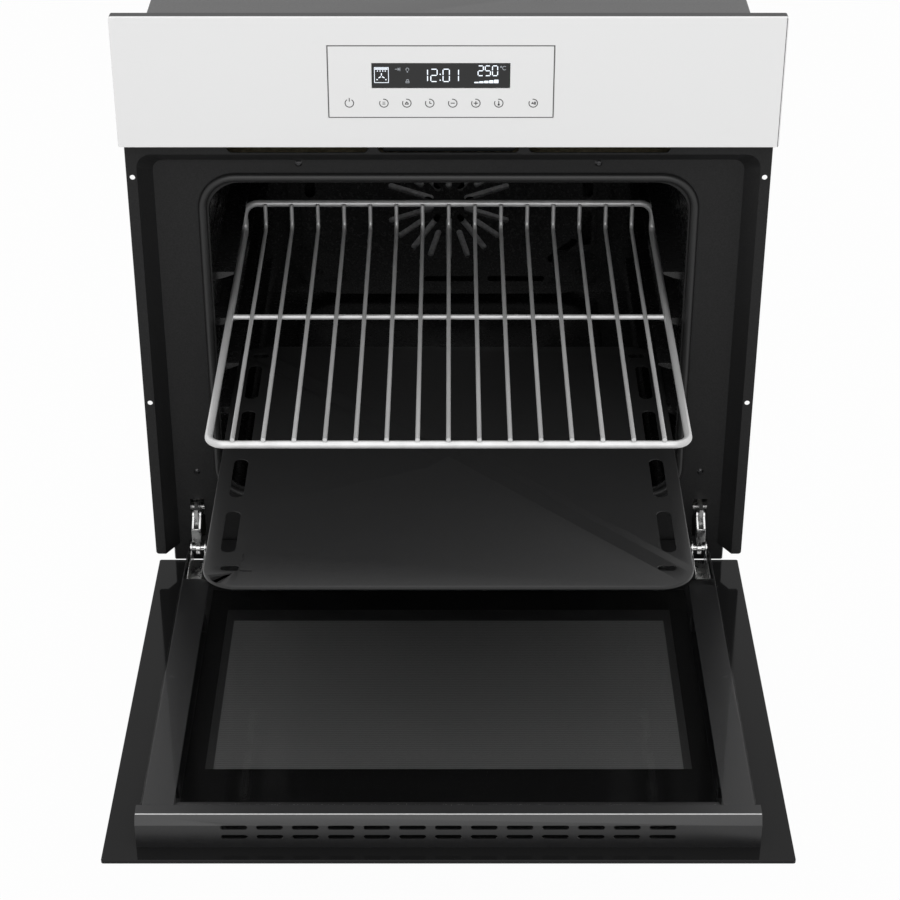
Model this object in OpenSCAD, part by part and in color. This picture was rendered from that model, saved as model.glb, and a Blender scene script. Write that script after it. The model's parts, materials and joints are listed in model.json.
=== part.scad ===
// Built-in wall oven, shown with its drop-down door open and the shelf and tray drawn out.
// Millimetres.  +Z up, +Y into the cabinet, X across.  The origin is on the underside of the
// base, on the centre line, in the plane where the front flange lies against the cabinet.

/* [Front] */
// Width of the front
front_w = 595; // [580:1:760]
// Height of the top of the front above the base
front_h = 595; // [590:1:600]
// Distance from the cabinet front to the front of the panel and of the closed door
front_out = 22; // [21:0.5:23]

/* [Casing] */
// Step from the side of the front to the side of the casing
casing_inset = 17.5; // [14:0.5:18]
// Step from the top of the front down to the top of the casing
casing_drop = 40; // [24:1:43]
// Depth of the casing behind the cabinet front
casing_d = 553; // [548:1:575]
// Thickness of the casing sheets
sheet = 1; // [0.8:0.1:1.5]
// Width of the fold along the edges of the sheets
fold_w = 12; // [8:1:16]
// Height of a cooling louvre in the side sheets
louvre_h = 5; // [3:0.5:7]
// Length of a cooling louvre in the side sheets
louvre_l = 90; // [60:5:110]

/* [Front frame] */
// Step from the side of the front to the edge of the screwed flange
flange_inset = 2; // [0.5:0.5:2.5]
// Height of the lower end of the flange above the base
flange_z = 19.5; // [16:0.5:24]
// Width of the flange strip beside the slanted step
flange_strip = 9.8; // [9:0.1:11]
// Inward run of the slanted step
step_in = 12.1; // [10:0.1:14]
// Depth of the slanted step
step_d = 20; // [18:0.5:22]
// Corner radius where the step starts
step_r = 14; // [10:1:18]
// Radius of the holes for the cabinet screws
cabinet_hole_r = 2.5; // [2:0.1:2.8]
// Height between the lower and upper cabinet screws
cabinet_hole_pitch = 238.4; // [220:0.1:245]
// Distance from the side of the front to the first cooling air slot
air_slot_side = 94.95; // [90:0.05:100]
// Distance between two cooling air slots
air_slot_gap = 8; // [6:0.5:10]
// Height of a cooling air slot
air_slot_h = 10; // [7:0.5:12]

/* [Control panel] */
// Height of the control panel
panel_h = 122.5; // [120:0.5:126]
// Thickness of the glass of the panel
panel_glass_t = 4; // [3:0.5:5]
// Depth of the visible rim of the panel
rim_d = 12; // [8:0.5:14]
// Corner radius of the panel
panel_r = 2; // [1:0.5:4]
// Width of the control unit
unit_w = 200; // [180:1:220]
// Height of the control unit
unit_h = 67.3; // [60:0.1:74]
// Shift of the control unit from the centre line
unit_x = -6.7; // [-20:0.1:20]
// Width of the display window
display_w = 121.8; // [100:0.1:130]
// Height of the display window
display_h = 22.6; // [18:0.1:25]
// Gap round the control unit and the display window
panel_gap = 0.5; // [0.3:0.05:0.8]
// Diameter of a touch pad
pad_d = 9; // [7:0.5:11]

/* [Door] */
// Step from the side of the front to the side of the door
door_inset = 1.5; // [0:0.1:2]
// Height of the lower edge of the closed door above the base
door_low = 7.5; // [6.5:0.5:11.5]
// Whole thickness of the door
door_t = 36.3; // [35.8:0.1:36.8]
// Thickness of the outer glass
outer_t = 4; // [3:0.5:5]
// Thickness of the inner glass
inner_t = 4; // [3:0.5:5]
// Thickness of the middle glass
middle_t = 3; // [2.5:0.5:4]
// Step from the side of the outer glass to the side of the inner glass
inner_inset = 32; // [31:0.5:34]
// Distance from the hinge axis to the near edge of the inner glass
inner_start = 39.6; // [38:0.1:50]
// Gap between the door and the control panel
door_gap = 5; // [4:0.5:7]
// Height of the hinge axis above the lower edge of the door
axis_up = 14.8; // [14:0.1:16]
// Distance of the hinge axis behind the outer face of the door
axis_in = 28.6; // [28:0.1:29.2]
// Step from the side of the outer glass to the end of the slotted top trim
trim_inset = 28.5; // [27:0.5:30]
// Length of a slot in the top trim
trim_slot_l = 23; // [18:0.5:26]
// Height of a slot in the top trim
trim_slot_h = 4.5; // [3:0.1:6]
// Distance between slots in the top trim
trim_pitch = 30.5; // [28:0.1:32]
// Number of slots in a row of the top trim
trim_slots = 13; // [7:2:15]

/* [Handle] */
// Length of the handle bar
handle_l = 440; // [380:5:480]
// Diameter of the handle bar
handle_d = 14; // [12:0.5:16]
// Distance from the door glass to the middle of the bar
handle_out = 34; // [30:1:36]
// Distance from the top edge of the door to the bar
handle_drop = 66; // [60:1:80]
// Distance of the handle posts from the ends of the bar
handle_post_in = 20; // [12:1:60]
// Diameter of the handle posts
handle_post_d = 10; // [8:0.5:11]

/* [Hinges] */
// Distance of the hinges from the side of the casing
hinge_inset = 26.5; // [25.5:0.1:27.5]
// Thickness of the hinge arm
arm_t = 4; // [3:0.5:5]
// Width of the locking latch
latch_w = 9; // [8:0.2:9.6]
// Radius of the hinge pin
pin_r = 3; // [2.5:0.1:3.5]
// Running clearance of the pins
pin_play = 0.06; // [0.03:0.01:0.1]

/* [Cavity] */
// Distance from the side of the casing to the side wall of the cavity
cavity_inset = 53; // [51:0.5:54]
// Height of the cavity floor above the base
cavity_z = 50; // [48:1:54]
// Height from the roof of the cavity to the slanted step
cavity_head = 26.5; // [22:0.5:32]
// Depth left for the fan motor behind the cavity
rear_room = 31; // [27:1:33]
// Radius of the long corners of the cavity
cavity_r = 16; // [10:1:20]
// Step from the side walls of the cavity to the sides of the mouth
mouth_step = 2; // [1:0.5:4]
// Height from the top of the mouth to the roof of the cavity
mouth_head = 10; // [8:0.5:14]
// Height of the lower edge of the mouth above the base
mouth_z = 83; // [80:1:86]
// Corner radius of the mouth
mouth_r = 32; // [24:1:36]
// Radius of the rounded door seal
seal_r = 4.6; // [4:0.1:4.8]
// Thickness of the heat insulation
insulation_t = 14; // [10:1:15]

/* [Shelves] */
// Height of the lowest shelf rail
rail_z = 117.4; // [112:0.2:122]
// Distance between two shelf rails
rail_pitch = 49.8; // [46:0.2:52]
// Number of shelf rails on each side
rail_count = 5; // [4:1:5]
// Inward reach of a shelf rail
rail_reach = 20; // [16:1:22]
// Height left free between a rail and what lies on it
rail_play = 0.3; // [0.2:0.05:0.4]
// Distance from the rack to the side wall of the cavity
rack_side = 12; // [10:0.5:14]
// Gap between the rack and the fan cover when it is pushed in
rack_back = 14.7; // [10:0.1:20]
// Diameter of the rods of the rack frame
rack_rod = 7; // [5:0.5:8]
// Diameter of the long wires of the rack
rack_wire = 4; // [3:0.5:5]
// Distance between two long wires
wire_pitch = 27.05; // [25:0.05:28]
// Height of the upturned rear of the rack
rack_rise = 31; // [24:1:34]
// Distance that the rack stands out of the cavity with the door open
rack_out = 247; // [240:1:250]
// Distance from the baking tray to the side wall of the cavity
tray_side = 11; // [9:0.5:13]
// Gap between the baking tray and the fan cover when it is pushed in
tray_back = 4; // [2:0.5:8]
// Depth of the baking tray
tray_depth = 35; // [25:1:38]
// Width of the side rims of the tray
tray_rim = 36; // [32:1:40]
// Width of the front and rear rims of the tray
tray_end_rim = 23; // [20:1:28]
// Inward slope of the walls of the tray
tray_slope = 27; // [18:1:30]
// Thickness of the tray sheet
tray_t = 1; // [0.8:0.1:1.2]
// Depth of the turned-down edge of the tray
tray_lip = 2.5; // [2:0.5:4]
// Distance that the tray stands out of the cavity with the door open
tray_out = 326.6; // [320:0.2:330]

/* [Convection] */
// Height of the convection fan above the base
fan_z = 181; // [176:1:190]
// Radius of the convection fan
fan_r = 74; // [66:1:78]
// Number of blades of the convection fan
fan_blades = 20; // [12:1:26]
// Number of radial slots in the fan cover
star_slots = 20; // [16:2:24]
// Width of a radial slot in the fan cover
star_slot_w = 7; // [5:0.5:8]
// Distance from the side wall of the cavity to the fan cover
baffle_side = 40; // [32:1:47]
// Depth of the space behind the fan cover
baffle_d = 32; // [30:1:36]
// Depth of the raised middle of the fan cover
baffle_raise = 10; // [8:1:12]
// Diameter of the heating rods
heater_d = 6.5; // [6:0.5:8]

/* [Cooling] */
// Radius of the cooling fan drum
drum_r = 26; // [22:1:28]
// Length of the cooling fan drum
drum_l = 200; // [160:5:220]
// Number of blades of the cooling fan drum
drum_blades = 24; // [16:2:30]

/* [Hidden] */
$fn = 48;
eps = 0.1;             // overshoot of a cut past the face that it opens

// Widths and heights that follow the front.
panel_w = front_w;
air_slot_l = (front_w - 2 * air_slot_side - 2 * air_slot_gap) / 3;
casing_w = front_w - 2 * casing_inset;
casing_h = front_h - casing_drop;
flange_w = front_w - 2 * flange_inset;
door_w = front_w - 2 * door_inset;
inner_w = door_w - 2 * inner_inset;
trim_w = door_w - 2 * trim_inset;
cavity_w = casing_w - 2 * cavity_inset;
mouth_w = cavity_w - 2 * mouth_step;
baffle_w = cavity_w - 2 * baffle_side;
rack_w = cavity_w - 2 * rack_side;
tray_w = cavity_w - 2 * tray_side;
hinge_x = casing_w / 2 - hinge_inset;
handle_post_x = handle_l / 2 - handle_post_in;

// Places that the pieces share.
half_w = casing_w / 2;
plate_y = step_d;                        // rear face of the recessed front plate
seal_y = plate_y - sheet;                // front face of that plate
panel_z = front_h - panel_h;             // lower edge of the control panel
step_top = panel_z - 16;                 // height where the slanted step starts
step_fall = step_in * 1.14;              // downward run of the slanted step at the top
flange_in = flange_w / 2 - flange_strip; // half width where the slanted step starts
unit_z = panel_z + panel_h / 2 + 1.5;    // middle height of the control unit
display_z = unit_z + 5.8;                // middle height of the display window
pad_z = unit_z - 20.1;                   // height of the row of touch pads
axis_y = axis_in - front_out;            // hinge axis of the door
door_h = panel_z - door_gap - door_low;  // height of the outer door glass
axis_z = door_low + axis_up;
door_z = axis_z - axis_in;               // outer face of the open door
cavity_top = step_top - cavity_head;
cavity_back = casing_d - rear_room;
mouth_top = cavity_top - mouth_head;
bay_z = step_top + 2 * sheet;            // top of the shelf that carries the cooling duct
duct_top = bay_z + air_slot_h + 2;       // underside of the roof of the cooling duct
duct_w = 3 * air_slot_l + 3.5 * air_slot_gap;
duct_end = 230;
rack_z = rail_z + 3 * rail_pitch + rail_play + rack_rod / 2;   // middle of the rack frame
rack_in_y = 38;                          // front of the rack when it is pushed in
rack_y = rack_in_y - rack_out;           // front of the rack with the door open
wire_z = rack_z + rack_rod / 2 + rack_wire / 2;
tray_top = rail_z + rail_pitch + rail_play + tray_lip;
tray_in_y = 48;                          // front of the tray when it is pushed in
tray_y = tray_in_y - tray_out;           // front of the tray with the door open
baffle_y = cavity_back - baffle_d;       // front face of the fan cover
rack_l = baffle_y - rack_back - rack_in_y;
tray_l = baffle_y - tray_back - tray_in_y;
fan_y = baffle_y + 5;                    // front of the fan wheel
shaft_r = 4;
tray_slot_l = 68.5;
tray_slot_w = 13.5;
bar_z = door_z - handle_out;
bar_y = axis_y + axis_up - door_h + handle_drop;

// A box between low and high corners given per axis.
module span(x, y, z) {
    translate([x[0], y[0], z[0]]) cube([x[1] - x[0], y[1] - y[0], z[1] - z[0]]);
}

// A box on the centre line.
module mid(w, y, z) { span([-w / 2, w / 2], y, z); }

// An outline drawn in X and Z, made solid between two Y places.
module along_y(y) {
    translate([0, y[1], 0]) rotate([90, 0, 0]) linear_extrude(y[1] - y[0]) children();
}

// An outline drawn in Y and Z, made solid between two X places.
module along_x(x) {
    translate([x[0], 0, 0]) rotate([90, 0, 90]) linear_extrude(x[1] - x[0]) children();
}

// An outline drawn in X and Y, made solid between two heights.
module along_z(z) { translate([0, 0, z[0]]) linear_extrude(z[1] - z[0]) children(); }

// A rectangle with round corners between low and high corners.
module round_rect(x, y, r) {
    translate([x[0] + r, y[0]]) square([x[1] - x[0] - 2 * r, y[1] - y[0]]);
    translate([x[0], y[0] + r]) square([x[1] - x[0], y[1] - y[0] - 2 * r]);
    for (cx = [x[0] + r, x[1] - r], cy = [y[0] + r, y[1] - r]) translate([cx, cy]) circle(r);
}

// A slot with round ends, along the first axis of the outline.
module slot(l, w) {
    square([l - w, w], center = true);
    for (s = [-1, 1]) translate([s * (l - w) / 2, 0]) circle(w / 2);
}

// Both sides of a mirrored pair.
module both() {
    children();
    mirror([1, 0, 0]) children();
}

// A rod between two points on a line along one axis.
module rod_x(x, y, z, d) { translate([x[0], y, z]) rotate([0, 90, 0]) cylinder(h = x[1] - x[0], d = d); }
module rod_y(x, y, z, d) { translate([x, y[1], z]) rotate([90, 0, 0]) cylinder(h = y[1] - y[0], d = d); }
module rod_z(x, y, z, d) { translate([x, y, z[0]]) cylinder(h = z[1] - z[0], d = d); }

// A quarter bend of a rod about the local Z axis, from the local X axis to the Y axis.
module bend(r, d) { rotate_extrude(angle = 90) translate([r, 0]) circle(d = d); }

// A heating rod: straight runs across X joined by half bends at alternate ends.
module serpentine(w, y0, pitch, runs, z) {
    for (i = [0 : runs - 1]) rod_x([-w / 2, w / 2], y0 + i * pitch, z, heater_d);
    for (i = [0 : runs - 2])
        translate([(i % 2 == 0 ? 1 : -1) * w / 2, y0 + (i + 0.5) * pitch, z])
            rotate([0, 0, i % 2 == 0 ? -90 : 90])
                rotate_extrude(angle = 180) translate([pitch / 2, 0]) circle(d = heater_d);
}

// ---- Casing ----

module base_plate() {
    color("darkgray") difference() {
        union() {
            mid(casing_w, [plate_y, casing_d], [0, sheet]);
            both() along_x([casing_w / 8, casing_w / 8 + 2 * fold_w])
                polygon([[plate_y + 60, sheet], [plate_y + 64, sheet + 4],
                         [casing_d - 64, sheet + 4], [casing_d - 60, sheet]]);
        }
        for (i = [0 : 4]) both()
            translate([casing_w / 3, plate_y + 90 + i * 90, -eps])
                linear_extrude(sheet + 2 * eps) slot(60, louvre_h);
    }
}

module side_panel() {
    color("darkgray") difference() {
        union() {
            along_x([half_w - sheet, half_w])
                polygon([[plate_y, sheet], [casing_d, sheet], [casing_d, casing_h - sheet],
                         [0, casing_h - sheet], [0, bay_z + fold_w], [plate_y, bay_z + fold_w]]);
            span([half_w - fold_w, half_w], [plate_y, casing_d - sheet], [sheet, 2 * sheet]);
            span([half_w - fold_w, half_w], [0, casing_d - sheet],
                 [casing_h - 2 * sheet, casing_h - sheet]);
        }
        for (i = [0 : 5]) along_x([half_w - 2 * sheet, half_w + eps])
            translate([casing_d - 90, 90 + i * 3 * louvre_h]) slot(louvre_l, louvre_h);
        along_x([half_w - 2 * sheet, half_w + eps])
            translate([casing_d - 160, casing_h / 2 + 60]) slot(100, 28);
    }
}

module left_side_panel() { mirror([1, 0, 0]) side_panel(); }
module right_side_panel() { side_panel(); }

module top_cover() {
    rib = [150, casing_d - 150];
    rib_h = 3;
    color("gray") difference() {
        union() {
            mid(casing_w, [0, casing_d], [casing_h - sheet, casing_h]);
            both() along_x([casing_w / 7, casing_w / 7 + 2 * fold_w])
                polygon([[rib[0], casing_h], [rib[0] + rib_h, casing_h + rib_h],
                         [rib[1] - rib_h, casing_h + rib_h], [rib[1], casing_h]]);
        }
        for (i = [0 : 7], s = [-1, 1])
            translate([s * casing_w / 4, casing_d - 100 + i * 2 * louvre_h, casing_h - sheet - eps])
                linear_extrude(sheet + 2 * eps) slot(louvre_l, louvre_h);
    }
}

module rear_cover() {
    color("darkgray") difference() {
        mid(casing_w - 2 * sheet, [casing_d - sheet, casing_d], [sheet, casing_h - sheet]);
        for (i = [0 : 9]) both() along_y([casing_d - 2 * sheet, casing_d + eps])
            translate([casing_w / 3.6, 60 + i * 3 * louvre_h]) slot(louvre_l, louvre_h);
        along_y([casing_d - 2 * sheet, casing_d + eps])
            translate([terminal_x, terminal_z]) square([terminal_w, terminal_h], center = true);
    }
}

// ---- Front frame ----

// The opening of the slanted step at one end of its depth, open at the lower end.
module step_outline(half, top, r, y, grow) {
    along_y([y, y + eps / 10]) round_rect([-half - grow, half + grow], [-100, top + grow], r + grow);
}

module front_frame() {
    in_half = flange_in - step_in;
    in_top = step_top - step_fall;
    in_r = step_r - 4;
    color("dimgray") difference() {
        union() {
            along_y([-sheet, 0])
                round_rect([-flange_w / 2, flange_w / 2], [flange_z, panel_z + panel_h - 9], 3);
            intersection() {
                hull() {
                    step_outline(flange_in, step_top, step_r, -sheet, sheet);
                    step_outline(in_half, in_top, in_r, plate_y - eps / 10, sheet);
                }
                mid(casing_w + 40, [-sheet, plate_y], [flange_z, casing_h]);
            }
            mid(casing_w - 2 * sheet, [seal_y, plate_y], [0, flange_z + sheet]);
        }
        hull() {
            step_outline(flange_in, step_top, step_r, -sheet - eps / 10, 0);
            step_outline(in_half, in_top, in_r, seal_y - eps / 10, 0);
        }
        mid(casing_w + 40, [-2 * sheet, seal_y], [-1, flange_z]);
        along_y([seal_y - eps, plate_y + eps])
            round_rect([-mouth_w / 2, mouth_w / 2], [mouth_z, mouth_top], mouth_r);
        both() span([hinge_x - 7, hinge_x + 7], [seal_y - eps, plate_y + eps], [axis_z + 6, axis_z + 50]);
        for (i = [-1 : 1]) along_y([-2 * sheet, eps])
            translate([i * (air_slot_l + air_slot_gap), step_top + air_slot_h / 2 + 1.5])
                slot(air_slot_l, air_slot_h);
        for (z = cabinet_holes_z, s = [-1, 1])
            translate([s * cabinet_hole_x, eps, z]) rotate([90, 0, 0])
                cylinder(h = sheet + 2 * eps, r = cabinet_hole_r);
        along_y([-2 * sheet, eps])
            translate([unit_x, unit_z]) square([unit_w - 12, unit_h - 12], center = true);
        both() along_y([-2 * sheet, eps])
            translate([front_w / 2 - 97.5, unit_z]) square([90, unit_h], center = true);
    }
}
cabinet_hole_x = flange_w / 2 - flange_strip / 2 - 0.6;
cabinet_holes_z = [for (s = [-1, 1]) front_h - 280.5 + s * cabinet_hole_pitch / 2];

// Countersunk screw with a cross recess, its head towards -Y.
module screw(x, y, z, head_r, l) {
    translate([x, y, z]) rotate([-90, 0, 0]) difference() {
        union() {
            translate([0, 0, -head_r * 0.45]) cylinder(h = head_r * 0.45, r1 = head_r * 0.55, r2 = head_r);
            cylinder(h = l, r = head_r * 0.45);
        }
        for (a = [0, 90]) rotate([0, 0, a]) translate([-head_r / 2, -0.4, -head_r])
            cube([head_r, 0.8, head_r * 0.8]);
    }
}

module front_screws() {
    color("silver") both() {
        screw(front_w / 2 - 158.8, seal_y - 0.01, step_top - step_in - 5, 3.6, sheet);
        screw(hinge_x - 2, seal_y - 0.01, axis_z + 82.5, 3.2, sheet);
    }
}

// ---- Cavity ----

module cavity_outline(grow) {
    round_rect([-cavity_w / 2 - grow, cavity_w / 2 + grow],
               [cavity_z - grow, cavity_top + grow], cavity_r + grow);
}

module cavity_shell() {
    color([0.13, 0.13, 0.14]) difference() {
        union() {
            along_y([plate_y, cavity_back + sheet]) cavity_outline(sheet);
            along_y([plate_y, plate_y + sheet]) round_rect([-mouth_w / 2 - 14, mouth_w / 2 + 14],
                [cavity_z - 8, cavity_top + 8], mouth_r);
        }
        difference() {
            along_y([plate_y + sheet, cavity_back]) cavity_outline(0);
            along_y([plate_y + 60, cavity_back - 24]) round_rect([47 - cavity_w / 2, cavity_w / 2 - 47],
                [cavity_z - cavity_r, cavity_z + 1.5], cavity_r / 2);
        }
        along_y([plate_y - eps, plate_y + 2 * sheet])
            round_rect([-mouth_w / 2, mouth_w / 2], [mouth_z, mouth_top], mouth_r);
        rod_y(0, [cavity_back - eps, cavity_back + 2 * sheet], fan_z, 2 * shaft_r + 6);
        rod_z(lamp_x, lamp_y, [cavity_top - eps, cavity_top + 2 * sheet], 2 * lamp_r - 8);
        rod_y(probe_x, [cavity_back - eps, cavity_back + 2 * sheet], probe_z, probe_d + 0.6);
        for (x = heater_legs) rod_y(x, [cavity_back - eps, cavity_back + 2 * sheet], leg_z, heater_d + 0.6);
        for (x = grill_legs) rod_y(x, [cavity_back - eps, cavity_back + 2 * sheet], grill_z, heater_d + 0.6);
    }
}
lamp_x = cavity_w / 2 - 77;
lamp_y = cavity_back - 150;
lamp_r = 22;
probe_x = cavity_w / 2 - 67;
probe_z = cavity_top - 18;
probe_d = 5;
heater_legs = [-10, 10];
leg_z = fan_z + fan_r + 14;
grill_legs = [27 - cavity_w / 2, 65 - cavity_w / 2];
heater_runs = 6;
heater_pitch = (cavity_back - plate_y - 202) / (heater_runs - 1);
grill_z = cavity_top - 16;

// Stamped side sheet with one shelf rail per level.
module shelf_rails() {
    wall = cavity_w / 2;
    color([0.2, 0.2, 0.21]) {
        along_x([wall - sheet, wall]) difference() {
            round_rect([plate_y + 14, baffle_y - 8], [rail_z - 22, rail_z + 4.7 * rail_pitch], 8);
            for (i = [0 : rail_count - 1], y = [plate_y + 90, baffle_y - 100])
                translate([y, rail_z + (i + 0.5) * rail_pitch]) slot(60, 8);
        }
        for (i = [0 : rail_count - 1]) along_y([plate_y + 20, baffle_y - 14])
            polygon([[wall - sheet, rail_z + i * rail_pitch - 9], [wall - sheet, rail_z + i * rail_pitch],
                     [wall - sheet - rail_reach, rail_z + i * rail_pitch],
                     [wall - sheet - rail_reach, rail_z + i * rail_pitch - 2.5],
                     [wall - sheet - rail_reach * 0.55, rail_z + i * rail_pitch - 6]]);
    }
}

module left_shelf_rails() { mirror([1, 0, 0]) shelf_rails(); }
module right_shelf_rails() { shelf_rails(); }

// Mineral wool wrapped round the sides of the cavity, with room under the floor for the heater.
module insulation() {
    color([0.75, 0.7, 0.55]) difference() {
        along_y([plate_y + 3 * sheet, cavity_back + sheet])
            round_rect([-cavity_w / 2 - sheet - insulation_t, cavity_w / 2 + sheet + insulation_t],
                [cavity_z - under_room - insulation_t, cavity_top + sheet + insulation_t],
                cavity_r + insulation_t);
        along_y([plate_y, cavity_back + 2 * sheet])
            round_rect([-cavity_w / 2 - sheet, cavity_w / 2 + sheet],
                [cavity_z - under_room, cavity_top + sheet], cavity_r);
        rod_z(lamp_x, lamp_y, [cavity_top, cavity_top + insulation_t + 4], 2 * lamp_r + 2);
    }
}
under_room = 16;

// Rounded seal that follows the mouth, held in the front plate.
module door_seal() {
    out = mouth_w / 2 + seal_r;
    top = mouth_top + seal_r;
    low = mouth_z - seal_r;
    color([0.24, 0.24, 0.25]) difference() {
        translate([0, seal_y + 0.2, 0]) {
            for (s = [-1, 1]) rod_z(s * out, 0, [low + mouth_r, top - mouth_r], 2 * seal_r);
            for (z = [low, top]) rod_x([-out + mouth_r, out - mouth_r], 0, z, 2 * seal_r);
            for (s = [-1, 1], v = [-1, 1])
                translate([s * (out - mouth_r), 0, v > 0 ? top - mouth_r : low + mouth_r])
                    rotate([90, 0, 0]) rotate([0, 0, s > 0 ? (v > 0 ? 0 : -90) : (v > 0 ? 90 : 180)])
                        bend(mouth_r, 2 * seal_r);
        }
        mid(2 * out + 40, [seal_y, seal_y + 20], [0, casing_h]);
    }
}

// ---- Fan cover and heaters ----

baffle_low = cavity_z + 8;               // lower edge of the fan cover
raised_low = cavity_z + 26;              // lower edge of its raised middle
raised_side = 16;                        // flat border beside the raised middle
corner_in = 48;                          // width of the sunk corner round each screw
corner_up = 42;                          // height of that corner
low_slot_w = 7;

module baffle_outline(grow) {
    low = baffle_low;
    high = cavity_top - 26;
    half = baffle_w / 2 + grow;
    r = 60 + grow;
    difference() {
        round_rect([-half, half], [low - grow, high + grow], 18 + grow);
        for (s = [-1, 1]) translate([s * (half - r), low - grow + r])
            difference() {
                translate([s > 0 ? 0 : -r - 1, -r - 1]) square(r + 1);
                circle(r);
            }
    }
}

module baffle_raised_outline(grow) {
    half = baffle_w / 2 - raised_side + grow;
    round_rect([-half, half], [raised_low + corner_up - grow, cavity_top - 34 + grow], 14);
    round_rect([-half + corner_in, half - corner_in], [raised_low - grow, cavity_top - 60], 14);
}

module fan_baffle() {
    flange_y = baffle_y + baffle_raise;
    low_slot_z = raised_low + low_slot_w;
    side_slot_x = baffle_w / 2 - raised_side - 10;
    color([0.14, 0.14, 0.15]) difference() {
        union() {
            along_y([flange_y, cavity_back]) baffle_outline(0);
            along_y([baffle_y, flange_y + sheet]) baffle_raised_outline(0);
        }
        along_y([flange_y + sheet, cavity_back + eps]) baffle_outline(-sheet);
        along_y([baffle_y + sheet, flange_y + 2 * sheet]) baffle_raised_outline(-sheet);
        along_y([baffle_y - eps, baffle_y + 2 * sheet]) {
            for (i = [0 : star_slots - 1]) translate([0, fan_z]) rotate([0, 0, 90 + i * 360 / star_slots])
                translate([i % 2 == 0 ? fan_r * 0.62 : fan_r * 0.74, 0])
                    slot(i % 2 == 0 ? fan_r * 0.74 : fan_r * 0.5, star_slot_w);
            translate([3.5, low_slot_z]) slot(65, low_slot_w);
            translate([79, low_slot_z]) slot(67, low_slot_w);
            for (s = [-1, 1])
                translate([s * side_slot_x, cavity_top - 162]) rotate([0, 0, 90]) slot(160, 12);
            translate([side_slot_x, fan_z - 32]) rotate([0, 0, 90]) slot(44, 10);
            translate([side_slot_x - 28, fan_z - 61]) rotate([0, 0, 40]) slot(42, 9);
        }
    }
}

module baffle_screws() {
    flange_y = baffle_y + baffle_raise;
    color("silver") for (s = [-1, 1]) {
        screw(s * baffle_screw_x, flange_y, baffle_screw_z, 3.6, 1);
        rod_y(s * baffle_screw_x, [flange_y + sheet, cavity_back], baffle_screw_z, 6);
    }
}
baffle_screw_x = baffle_w / 2 - raised_side - 18;
baffle_screw_z = raised_low + 11;

module convection_fan() {
    color("silver") difference() {
        union() {
            rod_y(0, [fan_y, fan_y + 1.2], fan_z, 2 * fan_r);
            rod_y(0, [fan_y - 2, fan_y + 14], fan_z, 22);
            for (i = [0 : fan_blades - 1]) translate([0, 0, fan_z]) rotate([0, i * 360 / fan_blades, 0])
                span([fan_r * 0.55, fan_r * 0.97], [fan_y + 0.4, fan_y + 17], [-0.5, 0.5]);
        }
        rod_y(0, [fan_y - 10, fan_y + 20], fan_z, 2 * (shaft_r + pin_play));
        for (i = [0 : 5]) translate([0, 0, fan_z]) rotate([0, i * 60, 0])
            rod_y(fan_r * 0.33, [fan_y - eps, fan_y + 2], 0, 12);
    }
}

module convection_motor() {
    color([0.55, 0.56, 0.58]) {
        rod_y(0, [fan_y + 1.5, cavity_back + 6], fan_z, 2 * shaft_r);
        rod_y(0, [cavity_back + 6, casing_d - 4], fan_z, 44);
        difference() {
            along_y([cavity_back + 6, cavity_back + 22]) translate([0, fan_z]) square(62, center = true);
            rod_y(0, [cavity_back, cavity_back + 40], fan_z, 43);
        }
        for (a = [45 : 90 : 315]) translate([0, 0, fan_z]) rotate([0, a, 0])
            rod_y(36, [cavity_back + sheet, cavity_back + 6 + sheet], 0, 6);
    }
}

module ring_element() {
    ring_y = baffle_y + 15;
    r = fan_r + 14;
    legs = heater_legs[1];
    gap = asin(legs / r);
    color([0.35, 0.34, 0.33]) {
        translate([0, ring_y, fan_z]) rotate([90, 0, 0]) rotate([0, 0, 90 + gap])
            rotate_extrude(angle = 360 - 2 * gap) translate([r, 0]) circle(d = heater_d);
        for (x = heater_legs)
            rod_y(x, [ring_y - heater_d / 2, cavity_back + 12], fan_z + sqrt(r * r - legs * legs), heater_d);
    }
}

module grill_element() {
    front = plate_y + 60;
    back = front + (heater_runs - 1) * heater_pitch;
    half = cavity_w / 2 - 77;
    bracket_x = half - 60;
    r = 12;
    color([0.35, 0.34, 0.33]) {
        serpentine(2 * half, front, heater_pitch, heater_runs, grill_z);
        rod_x([grill_legs[0] + r, -half], front, grill_z, heater_d);
        for (i = [0, 1]) {
            y = i == 0 ? front : back;
            translate([grill_legs[i] + r, y + r, grill_z]) rotate([0, 0, 180]) bend(r, heater_d);
            rod_y(grill_legs[i], [y + r, cavity_back + 12], grill_z, heater_d);
        }
        for (s = [-1, 1]) {
            span([s * bracket_x - 6, s * bracket_x + 6], [front - 20, back + 20],
                 [grill_z + heater_d / 2 - 0.2, grill_z + heater_d / 2 + 1]);
            for (y = [front - 10, back + 10])
                rod_z(s * bracket_x, y, [grill_z + heater_d / 2, cavity_top], 4);
        }
    }
}

module bottom_element() {
    color([0.35, 0.34, 0.33]) {
        serpentine(cavity_w - 174, plate_y + 90, heater_pitch, heater_runs,
            cavity_z - sheet - heater_d / 2);
    }
}

module temperature_probe() {
    color("silver") {
        rod_y(probe_x, [cavity_back - 70, cavity_back + 14], probe_z, probe_d);
        rod_y(probe_x, [cavity_back + sheet, cavity_back + sheet + 3], probe_z, probe_d + 8);
    }
}

module lamp_holder() {
    color("white") difference() {
        rod_z(lamp_x, lamp_y, [cavity_top + sheet, cavity_top + insulation_t + 6], 2 * lamp_r);
        rod_z(lamp_x, lamp_y, [cavity_top, cavity_top + insulation_t + 2], 2 * lamp_r - 6);
    }
}

module lamp_bulb() {
    color("ivory") {
        translate([lamp_x, lamp_y, cavity_top + 3]) sphere(d = 18);
        rod_z(lamp_x, lamp_y, [cavity_top + 3, cavity_top + insulation_t + 2], 12);
    }
}

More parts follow.
